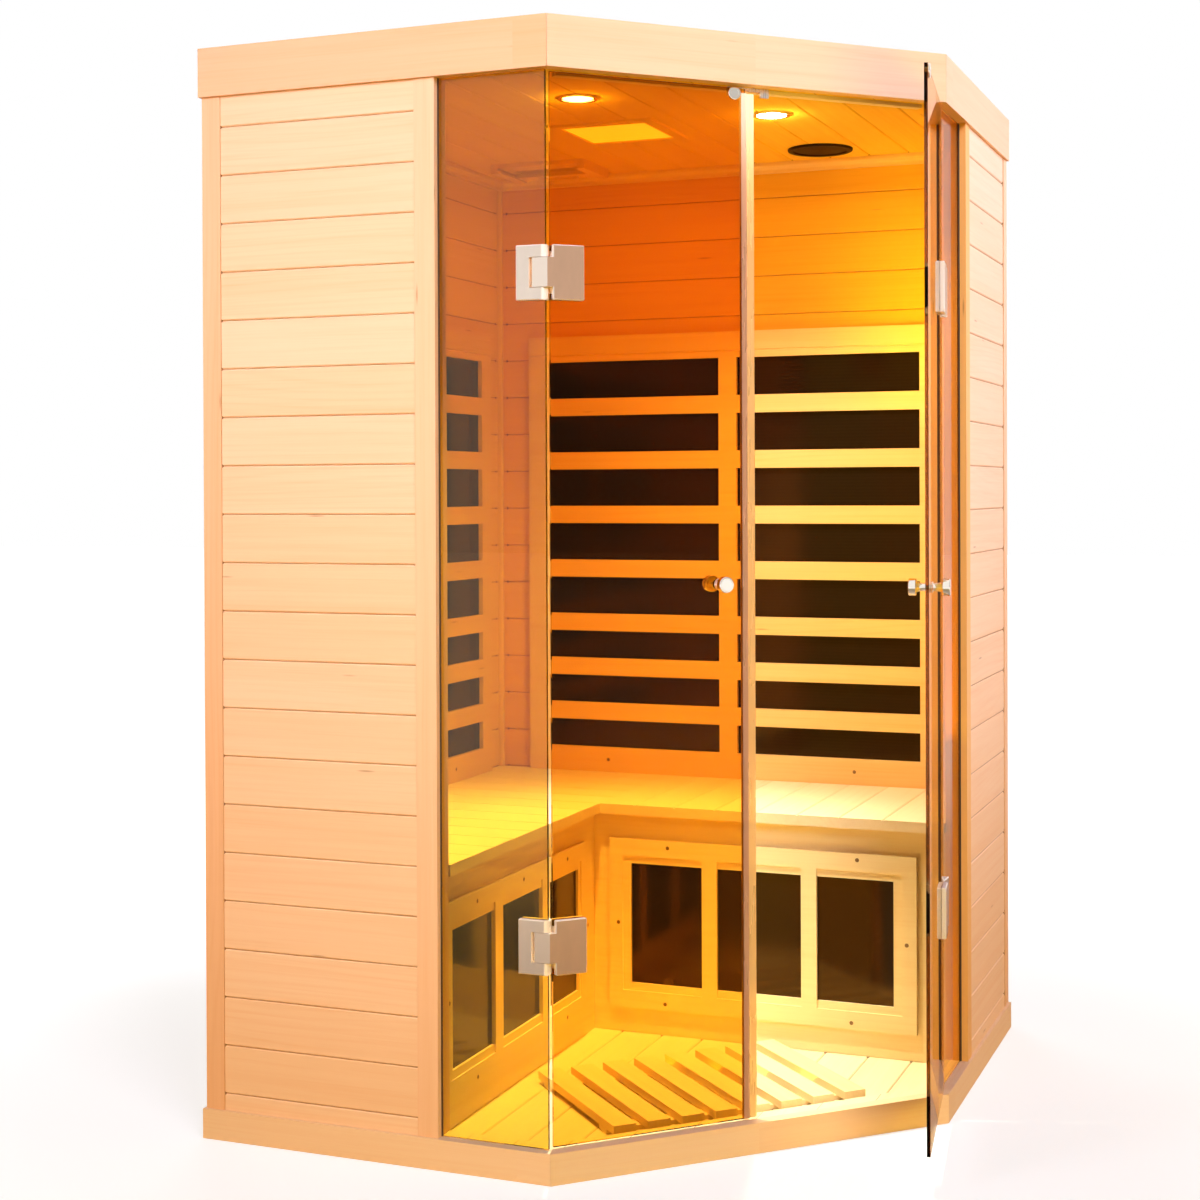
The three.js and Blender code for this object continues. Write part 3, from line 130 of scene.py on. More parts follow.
def wood(name, light, dark, along, stack=None, origin=0.0, pitch=PLANK, turn=0.0, seed=0.0,
         rough=0.5, seam=0.75, figure=1.0, seam_on=None, ends=(), painted_shadow_at=None, painted_shadow_width=0.0026, dot=0.0036,
         outer=None):
    """Softwood boards: fine streaks along one axis, a tone for each board and a brown line at each joint.

    Joints show on the faces that look along seam_on, and end in a small dark notch at each place in ends.
    A painted shadow line, standing for the shade between a post and the boards, crosses the boards at a given
    place. Panels whose room face is tinted with painted amber lamplight give the axis and sign in which their
    room face looks, and their plain outside tones, as outer."""
    material, tree, shader = new_material(name)
    coords = add(tree, "ShaderNodeTexCoord").outputs["Object"]
    if turn:
        coords = add(tree, "ShaderNodeVectorRotate", {"Vector": coords, "Angle": -turn},
                     rotation_type="Z_AXIS").outputs["Vector"]
    split = add(tree, "ShaderNodeSeparateXYZ", {"Vector": coords})
    axis = {"x": split.outputs[0], "y": split.outputs[1], "z": split.outputs[2]}
    first, second = [axis[a] for a in "xyz" if a != along]
    place = calc(tree, "DIVIDE", calc(tree, "SUBTRACT", axis[stack or along], origin), pitch if stack else 9.0)
    chance = add(tree, "ShaderNodeTexWhiteNoise",
                 {"W": calc(tree, "ADD", calc(tree, "FLOOR", place), seed + 0.5)}, noise_dimensions="1D")
    luck = chance.outputs["Value"]
    hue = add(tree, "ShaderNodeSeparateColor", {"Color": chance.outputs["Color"]}).outputs[1]
    run = calc(tree, "MULTIPLY_ADD", luck, 9.0, axis[along])
    shift_first = calc(tree, "MULTIPLY_ADD", luck, 3.1, first)
    shift_second = calc(tree, "MULTIPLY_ADD", hue, 1.7, second)

    def stretched(run_scale, cross_scale):
        return add(tree, "ShaderNodeCombineXYZ", {
            0: calc(tree, "MULTIPLY", run, run_scale),
            1: calc(tree, "MULTIPLY", shift_first, cross_scale),
            2: calc(tree, "MULTIPLY", shift_second, cross_scale)}).outputs[0]

    swell = noise(tree, stretched(1.1, 9.0), detail=1.0)
    band = noise(tree, stretched(1.7, 70.0), detail=3.0, distortion=0.4)
    streak = noise(tree, stretched(4.5, 330.0), detail=3.0, distortion=0.2)
    fine = noise(tree, stretched(16.0, 1100.0), detail=2.0)
    waves = calc(tree, "MULTIPLY_ADD", calc(tree, "ADD", first, second), 420.0,
                 calc(tree, "MULTIPLY", swell, 46.0))
    ring = calc(tree, "POWER", calc(tree, "MULTIPLY_ADD", calc(tree, "SINE", waves), 0.5, 0.5), 4.0)
    vein = between(tree, hue, 0.35, 1.0, 0.02, 0.16 * figure)
    mixed = calc(tree, "MULTIPLY_ADD", ring, vein, calc(
        tree, "MULTIPLY_ADD", between(tree, band, 0.35, 0.75), 0.26 * figure, calc(
            tree, "MULTIPLY_ADD", between(tree, streak, 0.45, 0.8), 0.22 * figure, calc(
                tree, "MULTIPLY_ADD", fine, 0.12, calc(tree, "MULTIPLY", between(tree, swell, 0.3, 0.7), 0.16)))))
    if outer:
        letter, sign, tones = outer
        normal = add(tree, "ShaderNodeSeparateXYZ", {"Vector": add(tree, "ShaderNodeTexCoord").outputs["Normal"]})
        outside = calc(tree, "LESS_THAN", calc(tree, "MULTIPLY", normal.outputs["xyz".index(letter)], sign), 0.3)
        light, dark = (blend_colour(tree, outside, *pair) for pair in zip((light, dark), tones))
    colour = blend_colour(tree, mixed, light, dark)
    tones = add(tree, "ShaderNodeCombineColor", {
        0: between(tree, luck, 0.0, 1.0, 0.985, 1.005), 1: between(tree, luck, 0.0, 1.0, 0.97, 1.015),
        2: between(tree, luck, 0.0, 1.0, 0.93, 1.03)}).outputs[0]
    colour = blend_colour(tree, 1.0, colour, tones, "MULTIPLY")
    cells = add(tree, "ShaderNodeTexVoronoi", {"Vector": stretched(6.0, 55.0), "Scale": 1.0})
    rare = add(tree, "ShaderNodeSeparateColor", {"Color": cells.outputs["Color"]}).outputs[0]
    fleck = calc(tree, "MULTIPLY", between(tree, cells.outputs["Distance"], 0.02, 0.14, 0.6, 0.0),
                 between(tree, rare, 0.86, 0.87))
    colour = blend_colour(tree, fleck, colour, (0.34, 0.16, 0.055, 1.0))
    if stack:
        wrapped = calc(tree, "ABSOLUTE", calc(tree, "SUBTRACT", calc(
            tree, "FRACT", calc(tree, "ADD", place, 0.5)), 0.5))
        across = calc(tree, "MULTIPLY", wrapped, pitch)
        line = between(tree, across, 0.0002, 0.0010, seam, 0.0)
        for place_of_end in ends:
            away = calc(tree, "SUBTRACT", axis[along], place_of_end)
            reach = calc(tree, "SQRT", calc(tree, "ADD", calc(tree, "MULTIPLY", away, away),
                                            calc(tree, "MULTIPLY", across, across)))
            line = calc(tree, "MAXIMUM", line, between(tree, reach, dot * 0.5, dot, 0.95, 0.0))
        if seam_on:
            facing = add(tree, "ShaderNodeSeparateXYZ", {
                "Vector": add(tree, "ShaderNodeTexCoord").outputs["Normal"]}).outputs["xyz".index(seam_on)]
            line = calc(tree, "MULTIPLY", line, between(tree, calc(tree, "ABSOLUTE", facing), 0.3, 0.4))
        # Painted shade: a golden-brown line across the boards beside a post, standing for the shade between post and
        # boards.
        if painted_shadow_at is not None:
            beside = calc(tree, "ABSOLUTE", calc(tree, "SUBTRACT", axis[along], painted_shadow_at))
            colour = blend_colour(tree, between(tree, beside, painted_shadow_width * 0.3, painted_shadow_width, 0.8, 0.0), colour,
                                  (0.56, 0.27, 0.075, 1.0))
        colour = blend_colour(tree, line, colour, (0.26, 0.11, 0.03, 1.0))
    tree.links.new(colour, shader.inputs["Base Color"])
    tree.links.new(calc(tree, "MULTIPLY_ADD", fine, 0.22, rough - 0.11), shader.inputs["Roughness"])
    shader.inputs["Specular IOR Level"].default_value = 0.3
    bump(tree, shader, calc(tree, "MULTIPLY_ADD", ring, 0.2, calc(tree, "ADD", fine, streak)), 0.22, 0.0002)
    return material


def glass(name, tint, edge, clear_axis, index=1.45):
    """Float glass: a light tint through the pane and a darker one at its cut edges."""
    material, tree, shader = new_material(name)
    facing = calc(tree, "ABSOLUTE", add(tree, "ShaderNodeVectorMath", {
        0: add(tree, "ShaderNodeTexCoord").outputs["Normal"], 1: clear_axis,
    }, operation="DOT_PRODUCT").outputs["Value"])
    rim = between(tree, facing, 0.2, 0.5, 1.0, 0.0)
    tree.links.new(blend_colour(tree, rim, tint, edge), shader.inputs["Base Color"])
    shader.inputs["Roughness"].default_value = 0.0
    shader.inputs["Transmission Weight"].default_value = 1.0
    shader.inputs["IOR"].default_value = index
    return material


def metal(name, colour, rough, brushed=0.0, along="z"):
    material, tree, shader = new_material(name)
    coords = add(tree, "ShaderNodeTexCoord").outputs["Object"]
    scales = {a: 900.0 for a in "xyz"}
    scales[along] = 12.0
    vector = add(tree, "ShaderNodeVectorMath", {0: coords, 1: tuple(scales[a] for a in "xyz")},
                 operation="MULTIPLY").outputs["Vector"]
    hair = noise(tree, vector, detail=2.0)
    cloud = noise(tree, add(tree, "ShaderNodeVectorMath", {0: coords, 1: (40.0, 40.0, 40.0)},
                            operation="MULTIPLY").outputs["Vector"])
    tone = blend_colour(tree, calc(tree, "MULTIPLY", cloud, 0.25), colour, tuple(c * 0.8 for c in colour[:3]) + (1,))
    tree.links.new(tone, shader.inputs["Base Color"])
    tree.links.new(calc(tree, "MULTIPLY_ADD", hair, brushed + 0.03, rough), shader.inputs["Roughness"])
    shader.inputs["Metallic"].default_value = 1.0
    if brushed:
        bump(tree, shader, hair, 0.08, 0.0001)
    return material


def leaf_metal(name, face, edge, facing_axis, tongue_axis=None, tongue=None, rough=0.3):
    """Satin plated leaf with painted light: tones on its broad face and its tongue for how lit each is, and a painted
    highlight on its eased edges, less metallic there so that the lamps light them.
    """
    material, tree, shader = new_material(name)
    coords = add(tree, "ShaderNodeTexCoord")

    def looks_along(axis):
        return calc(tree, "ABSOLUTE", add(tree, "ShaderNodeVectorMath", {
            0: coords.outputs["Normal"], 1: axis}, operation="DOT_PRODUCT").outputs["Value"])

    facing = looks_along(facing_axis)
    cloud = noise(tree, add(tree, "ShaderNodeVectorMath", {0: coords.outputs["Object"], 1: (50.0, 50.0, 20.0)},
                            operation="MULTIPLY").outputs["Vector"])
    shaded_face = blend_colour(tree, cloud, face, tuple(c * 0.86 for c in face[:3]) + (1,))
    if tongue_axis:
        beside = looks_along(tongue_axis)
        shaded_face = blend_colour(tree, between(tree, beside, 0.9, 0.99), shaded_face, tongue)
        facing = calc(tree, "MAXIMUM", facing, beside)
    # Painted highlight on the eased edges; the broad faces keep their painted lit or shaded tone.
    tree.links.new(blend_colour(tree, between(tree, facing, 0.9, 0.99), edge, shaded_face), shader.inputs["Base Color"])
    tree.links.new(calc(tree, "MULTIPLY_ADD", cloud, 0.08, rough - 0.04), shader.inputs["Roughness"])
    tree.links.new(between(tree, facing, 0.9, 0.99, 0.2, 0.92), shader.inputs["Metallic"])
    return material


def heater(name, shine, index=1.5):
    """Glossy dark heating film behind its clear laminate, with the faint lines of its conductors."""
    material, tree, shader = new_material(name)
    split = add(tree, "ShaderNodeSeparateXYZ", {"Vector": add(tree, "ShaderNodeTexCoord").outputs["Object"]})
    lines = calc(tree, "SINE", calc(tree, "MULTIPLY", split.outputs[2], 900.0))
    cloud = noise(tree, add(tree, "ShaderNodeTexCoord").outputs["Object"], detail=3.0)
    share = calc(tree, "MULTIPLY_ADD", lines, 0.12, cloud)
    tree.links.new(blend_colour(tree, share, (0.007, 0.004, 0.003, 1), (0.016, 0.009, 0.005, 1)),
                   shader.inputs["Base Color"])
    tree.links.new(calc(tree, "MULTIPLY_ADD", cloud, 0.08, 0.07), shader.inputs["Roughness"])
    shader.inputs["Specular IOR Level"].default_value = shine
    shader.inputs["IOR"].default_value = index
    shader.inputs["Specular Tint"].default_value = (1.0, 0.56, 0.16, 1.0)
    return material


def plastic(name, colour, rough, speckle=0.15, scale=700.0):
    material, tree, shader = new_material(name)
    coords = add(tree, "ShaderNodeTexCoord").outputs["Object"]
    grain = noise(tree, add(tree, "ShaderNodeVectorMath", {0: coords, 1: (scale,) * 3},
                            operation="MULTIPLY").outputs["Vector"])
    tree.links.new(blend_colour(tree, calc(tree, "MULTIPLY", grain, speckle), colour,
                                tuple(c * 0.6 for c in colour[:3]) + (1,)), shader.inputs["Base Color"])
    tree.links.new(calc(tree, "MULTIPLY_ADD", grain, 0.15, rough - 0.07), shader.inputs["Roughness"])
    bump(tree, shader, grain, 0.15, 0.0002)
    return material


def grille(name):
    """Black loudspeaker cloth: round holes in a close grid."""
    material, tree, shader = new_material(name)
    coords = add(tree, "ShaderNodeTexCoord").outputs["Object"]
    cells = add(tree, "ShaderNodeTexVoronoi", {"Vector": coords, "Scale": 330.0, "Randomness": 0.0})
    hole = between(tree, cells.outputs["Distance"], 0.2, 0.34, 0.0, 1.0)
    tree.links.new(blend_colour(tree, hole, (0.002, 0.001, 0.001, 1), (0.014, 0.006, 0.003, 1)),
                   shader.inputs["Base Color"])
    shader.inputs["Roughness"].default_value = 0.45
    shader.inputs["Specular IOR Level"].default_value = 0.15
    bump(tree, shader, hole, 0.6, 0.0006)
    return material


def seal_plastic(name):
    """Clear soft plastic: tan where it grips the glass and milky yellow at its free fin, a yellow that is partly
    painted amber lamplight through it, with a painted glow of the downlight that whitens towards its top.
    """
    material, tree, shader = new_material(name)
    coords = add(tree, "ShaderNodeTexCoord").outputs["Object"]
    streak = noise(tree, add(tree, "ShaderNodeVectorMath", {0: coords, 1: (60.0, 60.0, 5.0)},
                             operation="MULTIPLY").outputs["Vector"])
    reach = add(tree, "ShaderNodeVectorMath", {0: coords, 1: (math.sqrt(0.5), math.sqrt(0.5), 0.0)},
                operation="DOT_PRODUCT").outputs["Value"]
    fin = between(tree, reach, SEAL_STEP - 0.0006, SEAL_STEP + 0.0006)
    grip = blend_colour(tree, streak, rgb("dcb08c"), rgb("d0a080"))
    milky_and_lamplit = blend_colour(tree, streak, rgb("ffdc9c"), rgb("f8cc84"))
    colour = blend_colour(tree, fin, grip, milky_and_lamplit)
    tree.links.new(colour, shader.inputs["Base Color"])
    # Painted glow: emission that stands for the downlight's light on the strip, rising with height and whitest near
    # the top.
    height = add(tree, "ShaderNodeSeparateXYZ", {"Vector": coords}).outputs[2]
    painted_lamp_glow = between(tree, height, 1.50, 1.80, 0.15, 1.0)
    tree.links.new(blend_colour(tree, painted_lamp_glow, (0, 0, 0, 1), blend_colour(
        tree, between(tree, height, 1.62, 1.80), colour, (1.0, 0.95, 0.80, 1))), shader.inputs["Emission Color"])
    tree.links.new(calc(tree, "MULTIPLY_ADD", streak, 0.15, 0.2), shader.inputs["Roughness"])
    shader.inputs["Emission Strength"].default_value = 0.5
    shader.inputs["Transmission Weight"].default_value = 0.4
    shader.inputs["IOR"].default_value = 1.2
    return material


def lit(name, colour, glow, strength, centre=None, radius=0.0, rim=None):
    """A lit diffuser; with a centre, only the lens inside the radius glows and the rim is metal."""
    material, tree, shader = new_material(name)
    coords = add(tree, "ShaderNodeTexCoord").outputs["Object"]
    cloud = noise(tree, add(tree, "ShaderNodeVectorMath", {0: coords, 1: (60.0, 60.0, 60.0)},
                            operation="MULTIPLY").outputs["Vector"])
    shader.inputs["Emission Color"].default_value = glow
    shader.inputs["Roughness"].default_value = 0.35
    if centre is None:
        tree.links.new(blend_colour(tree, cloud, colour, tuple(c * 0.94 for c in colour[:3]) + (1,)),
                       shader.inputs["Base Color"])
        tree.links.new(calc(tree, "MULTIPLY_ADD", cloud, strength * 0.1, strength * 0.95),
                       shader.inputs["Emission Strength"])
        return material
    flat = add(tree, "ShaderNodeVectorMath", {0: coords, 1: (1.0, 1.0, 0.0)}, operation="MULTIPLY")
    away = add(tree, "ShaderNodeVectorMath", {0: flat.outputs["Vector"], 1: (centre[0], centre[1], 0.0)},
               operation="DISTANCE").outputs["Value"]
    inside = between(tree, away, radius, radius + 0.0015, 1.0, 0.0)
    tree.links.new(calc(tree, "MULTIPLY", inside, strength), shader.inputs["Emission Strength"])
    tree.links.new(blend_colour(tree, inside, rim, colour), shader.inputs["Base Color"])
    tree.links.new(calc(tree, "SUBTRACT", 1.0, inside), shader.inputs["Metallic"])
    return material


# Finishes of the CAD nodes
# Lit and shaded copies of one pale softwood. The orange tones of the room's walls, ceiling, moulding, bead, guards
# and vent are painted amber lamplight. The darker copy on the left corner post and left cornice, and the slightly
# darker one on the other posts, the right cornice and the roof, are painted shade. The right jamb's copy is the
# painted shade and amber light inside the open doorway.
PALE = ((0.965, 0.690, 0.450, 1), (0.880, 0.520, 0.265, 1))
SILL = ((0.945, 0.630, 0.385, 1), (0.860, 0.490, 0.245, 1))
LAMPLIT_WARM = ((0.930, 0.630, 0.270, 1), (0.840, 0.480, 0.155, 1))
LAMPLIT_GOLDEN = ((0.940, 0.620, 0.060, 1), (0.850, 0.470, 0.030, 1))
LAMPLIT_EMBER = ((0.900, 0.500, 0.050, 1), (0.800, 0.370, 0.028, 1))
SEAT = ((0.960, 0.800, 0.500, 1), (0.890, 0.640, 0.320, 1))
BENCH = ((0.940, 0.780, 0.550, 1), (0.880, 0.670, 0.400, 1))
TREAD = ((0.970, 0.850, 0.590, 1), (0.920, 0.730, 0.430, 1))
SHADED = ((0.930, 0.530, 0.170, 1), (0.840, 0.410, 0.105, 1))
BASE = ((0.970, 0.740, 0.500, 1), (0.890, 0.580, 0.320, 1))
SHADED_POST = ((0.900, 0.555, 0.315, 1), (0.815, 0.430, 0.195, 1))
WALLS = 0.0813
FLOORS = -0.521

WOODS = {
    "left_panel": wood("wood_left_panel", *PALE, "x", "z", WALLS, seed=3.0, ends=(-0.559,), painted_shadow_at=-0.560),
    "right_panel": wood("wood_right_panel", *PALE, "y", "z", WALLS, seed=41.0, ends=(0.556,), painted_shadow_at=0.560,
                        painted_shadow_width=0.007, dot=0.007),
    "rear_panel": wood("wood_rear_panel", *LAMPLIT_EMBER, "x", "z", WALLS, seed=77.0, ends=(-0.531,), outer=("y", -1, PALE)),
    "side_panel": wood("wood_side_panel", *LAMPLIT_WARM, "y", "z", WALLS, seed=113.0, ends=(0.531,), outer=("x", 1, PALE)),
    "left_corner_post": wood("wood_left_corner_post", *SHADED_POST, "z", seed=5.0),
    "left_jamb_post": wood("wood_left_jamb_post", *SILL, "z", seed=6.0),
    "right_jamb_post": wood("wood_right_jamb_post", *SHADED, "z", seed=7.0),
    "right_corner_post": wood("wood_right_corner_post", *SILL, "z", seed=8.0),
    "plinth_left": wood("wood_plinth_left", *BASE, "x", seed=9.0),
    "plinth_right": wood("wood_plinth_right", *BASE, "y", seed=10.0),
    "plinth_front": wood("wood_plinth_front", *BASE, "x", turn=DIAGONAL, seed=11.0),
    "cornice_left": wood("wood_cornice_left", *SHADED_POST, "x", seed=12.0),
    "cornice_right": wood("wood_cornice_right", *SILL, "y", seed=13.0),
    "cornice_front": wood("wood_cornice_front", *PALE, "x", turn=DIAGONAL, seed=14.0),
    # The header stop takes the palest tone, a painted highlight for the downlight falling on it under the cornice.
    "header_stop": wood("wood_header_stop", *TREAD, "x", turn=DIAGONAL, seed=15.0),
    "duckboard": wood("wood_duckboard", *SEAT, "y", "x", 0.0, 0.064, turn=DIAGONAL, seed=16.0, seam=0.0),
    "floor_panel": wood("wood_floor", *TREAD, "y", "x", FLOORS, seed=17.0, seam_on="z", ends=(0.149,)),
    "ceiling_panel": wood("wood_ceiling", *LAMPLIT_GOLDEN, "y", "x", FLOORS, seed=18.0, seam_on="z", ends=(0.531,)),
    "roof_cover": wood("wood_roof", *SILL, "x", seed=19.0),
    "rear_heater_guard": wood("wood_rear_guard", *LAMPLIT_WARM, "x", "z", 0.4, 0.12, seed=20.0, seam=0.0),
    "side_heater_guard": wood("wood_side_guard", *LAMPLIT_WARM, "y", "z", 0.4, 0.12, seed=21.0, seam=0.0),
    "rear_bench_top": wood("wood_rear_bench", *BENCH, "y", "x", -0.0677, seed=22.0, seam_on="z"),
    "side_bench_top": wood("wood_side_bench", *BENCH, "x", "y", 0.5497, seed=23.0, seam_on="z"),
    "rear_bench_front": wood("wood_rear_bench_front", *SEAT, "x", seed=24.0),
    "side_bench_front": wood("wood_side_bench_front", *SEAT, "y", seed=25.0),
    "vent_frame": wood("wood_vent_frame", *LAMPLIT_WARM, "x", seed=26.0),
    "vent_slider": wood("wood_vent_slider", *LAMPLIT_WARM, "x", seed=27.0),
}
BRONZE = (0.78, 0.44, 0.06, 1.0)
# A darker, duller tint for the left fixed pane, which paints in the dimmer light on the side wall behind it.
SHADE_DIMMED_TINT = (0.68, 0.49, 0.07, 1.0)
GLASS_EDGE = (0.42, 0.26, 0.10, 1.0)
AXIS_DIAGONAL = (math.sqrt(0.5), -math.sqrt(0.5), 0.0)
OPEN_ANGLE = math.radians(-45 + 53)
AXIS_OPEN = (math.cos(OPEN_ANGLE), math.sin(OPEN_ANGLE), 0.0)
AXIS_OPEN_TONGUE = (math.cos(math.radians(53)), math.sin(math.radians(53)), 0.0)
GLASSES = {
    "left_fixed_glass": glass("glass_left_fixed", SHADE_DIMMED_TINT, GLASS_EDGE, (0, 1, 0)),
    "right_fixed_glass": glass("glass_right_fixed", BRONZE, GLASS_EDGE, (1, 0, 0), 1.13),
    "left_door_glass": glass("glass_left_door", BRONZE, GLASS_EDGE, AXIS_DIAGONAL, 1.13),
    "right_door_glass": glass("glass_right_door", BRONZE, GLASS_EDGE, AXIS_OPEN, 1.13),
}
SATIN = metal("satin_steel", (0.80, 0.78, 0.76, 1), 0.22, 0.10)
# Leaf tones: a paler one for the lit fixed leaf and the tongues, a darker one, painted shade and reflection, for the
# door leaves and the right fixed leaf, and a painted highlight for the eased edges.
LIT_LEAF_TONE, SHADED_LEAF_TONE, PAINTED_EDGE_HIGHLIGHT = rgb("ecdccc"), rgb("ecbe9c"), rgb("fff4e6")
LEAVES = {
    "left_fixed": leaf_metal("leaf_left_fixed", LIT_LEAF_TONE, PAINTED_EDGE_HIGHLIGHT, (0, 1, 0)),
    "left_door": leaf_metal("leaf_left_door", SHADED_LEAF_TONE, PAINTED_EDGE_HIGHLIGHT, AXIS_DIAGONAL, (0, 1, 0), LIT_LEAF_TONE),
    "right_fixed": leaf_metal("leaf_right_fixed", SHADED_LEAF_TONE, PAINTED_EDGE_HIGHLIGHT, (1, 0, 0)),
    "right_door": leaf_metal("leaf_right_door", SHADED_LEAF_TONE, PAINTED_EDGE_HIGHLIGHT, AXIS_OPEN, AXIS_OPEN_TONGUE, LIT_LEAF_TONE),
}
CHROME = metal("chrome", (0.95, 0.87, 0.77, 1), 0.04)
GREY = metal("grey_steel", (0.45, 0.46, 0.47, 1), 0.4)
HEATER = heater("heater_film", 0.35)
CALF_HEATER = heater("calf_heater_film", 0.8, 1.5)
BLACK = plastic("black_plastic", (0.02, 0.018, 0.016, 1), 0.45)
SEAL = seal_plastic("seal_plastic")
RUBBER = plastic("gasket_rubber", (0.085, 0.035, 0.012, 1), 0.5)
GRILLE = grille("speaker_grille")
SCREW = metal("screw_steel", (0.30, 0.19, 0.10, 1), 0.4)
LENS = lit("downlight_lens", (0.95, 0.9, 0.8, 1), (1.0, 0.92, 0.80, 1.0), 30.0)
AMBER = (1.0, 0.52, 0.08, 1.0)
LAMP = lit("lamp_diffuser", (0.95, 0.85, 0.62, 1), (1.0, 0.46, 0.03, 1.0), 1.7)


def downlight_material(node):
    low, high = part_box(node)
    centre = (low + high) / 2
    return lit("lens_" + node, (0.95, 0.9, 0.8, 1), (1.0, 0.82, 0.5, 1.0), 9.0, centre, 0.0265,
               (0.85, 0.82, 0.78, 1))


def finish_of(node):
    if node in WOODS:
        return WOODS[node]
    if node in GLASSES:
        return GLASSES[node]
    if node.endswith("leaf"):
        return LEAVES[node.split("_")[0] + "_" + node.split("_")[-2]]
    for word, material in (("hinge", SATIN), ("knob", CHROME), ("strike", CHROME), ("calf", CALF_HEATER), ("heater", HEATER),
                           ("seal", SEAL), ("catch", SATIN), ("speaker", GRILLE), ("lamp_panel", LAMP),
                           ("power_unit", GREY)):
        if word in node:
            return material
    return downlight_material(node)


for name, node in NODES.items():
    node.data.materials.clear()
    node.data.materials.append(finish_of(name))

# Eased edges on the CAD pieces
EASED = {
    0.0015: ["left_corner_post", "left_jamb_post", "right_jamb_post", "right_corner_post", "plinth_left",
             "plinth_right", "plinth_front", "cornice_left", "cornice_right", "cornice_front", "duckboard",
             "rear_heater_guard", "side_heater_guard", "rear_bench_front", "side_bench_front", "header_stop"],
    0.0020: [name for name in NODES if name.endswith("leaf")],
    0.0008: ["vent_frame", "vent_slider", "lamp_panel"],
}
for width, names in EASED.items():
    for name in names:
        ease = NODES[name].modifiers.new("ease", "BEVEL")
        ease.width, ease.segments, ease.limit_method = width, 2, "ANGLE"
        ease.angle_limit = math.radians(50)
        ease.harden_normals = True


def camera_matrix():
    yaw, pitch, roll = (math.radians(a) for a in (CAMERA_YAW, CAMERA_PITCH, CAMERA_ROLL))
    ahead = Vector((-math.sin(yaw) * math.cos(pitch), math.cos(yaw) * math.cos(pitch), math.sin(pitch)))
    right = Vector((math.cos(yaw), math.sin(yaw), 0.0))
    up = right.cross(ahead)
    side = right * math.cos(roll) + up * math.sin(roll)
    top = up * math.cos(roll) - right * math.sin(roll)
    turned = Matrix((side, top, -ahead)).transposed().to_4x4()
    return Matrix.Translation(CAMERA_PLACE) @ turned


def make_camera():
    data = bpy.data.cameras.new("camera")
    data.sensor_width, data.lens = 36.0, CAMERA_LENS
    data.shift_x, data.shift_y = CAMERA_SHIFT
    data.clip_start, data.clip_end = 0.05, 100.0
    camera = bpy.data.objects.new("camera", data)
    SCENE.collection.objects.link(camera)
    camera.matrix_world = camera_matrix()
    SCENE.camera = camera


def make_lamp(name, place, target, size, energy, colour=(1, 1, 1), size_y=None, spread=180):
    data = bpy.data.lights.new(name, "AREA")
    data.energy, data.color, data.size = energy, colour, size
    if size_y:
        data.shape, data.size_y = "RECTANGLE", size_y
    lamp = bpy.data.objects.new(name, data)
    SCENE.collection.objects.link(lamp)
    lamp.location = place
    lamp.rotation_mode = "QUATERNION"
    lamp.rotation_quaternion = (Vector(target) - Vector(place)).to_track_quat("-Z", "Y")
    lamp.visible_camera = False
    lamp.visible_glossy = False
    lamp.visible_transmission = False
    data.spread = math.radians(spread)
    return lamp


AMBIENT = 0.1
WARM_FILL = (1.0, 0.76, 0.44, 1.0)
BRIGHT_SIDE = (-1.0, 0.0, 0.0)


def make_world():
    world = bpy.data.worlds.new("studio")
    SCENE.world = world
    world.use_nodes = True
    tree = world.node_tree
    tree.nodes.clear()
    path = add(tree, "ShaderNodeLightPath")
    seen = calc(tree, "MAXIMUM", path.outputs["Is Camera Ray"], calc(
        tree, "MAXIMUM", path.outputs["Is Glossy Ray"], path.outputs["Is Transmission Ray"]))
    first = calc(tree, "LESS_THAN", path.outputs["Diffuse Depth"], 0.5)
    plain = calc(tree, "MULTIPLY", seen, first)
    side = add(tree, "ShaderNodeVectorMath", {0: add(tree, "ShaderNodeTexCoord").outputs["Generated"],
                                              1: BRIGHT_SIDE}, operation="DOT_PRODUCT").outputs["Value"]
    mirrored = calc(tree, "MULTIPLY", path.outputs["Is Glossy Ray"], between(tree, side, -0.1, -0.95, 0.0, 0.38))
    shade = calc(tree, "MULTIPLY", calc(tree, "MULTIPLY_ADD", plain, 1.0 - AMBIENT, AMBIENT),
                 calc(tree, "SUBTRACT", 1.0, mirrored))
    back = add(tree, "ShaderNodeBackground", {
        "Color": blend_colour(tree, plain, WARM_FILL, (1, 1, 1, 1)), "Strength": shade})
    out = add(tree, "ShaderNodeOutputWorld")
    tree.links.new(back.outputs[0], out.inputs["Surface"])


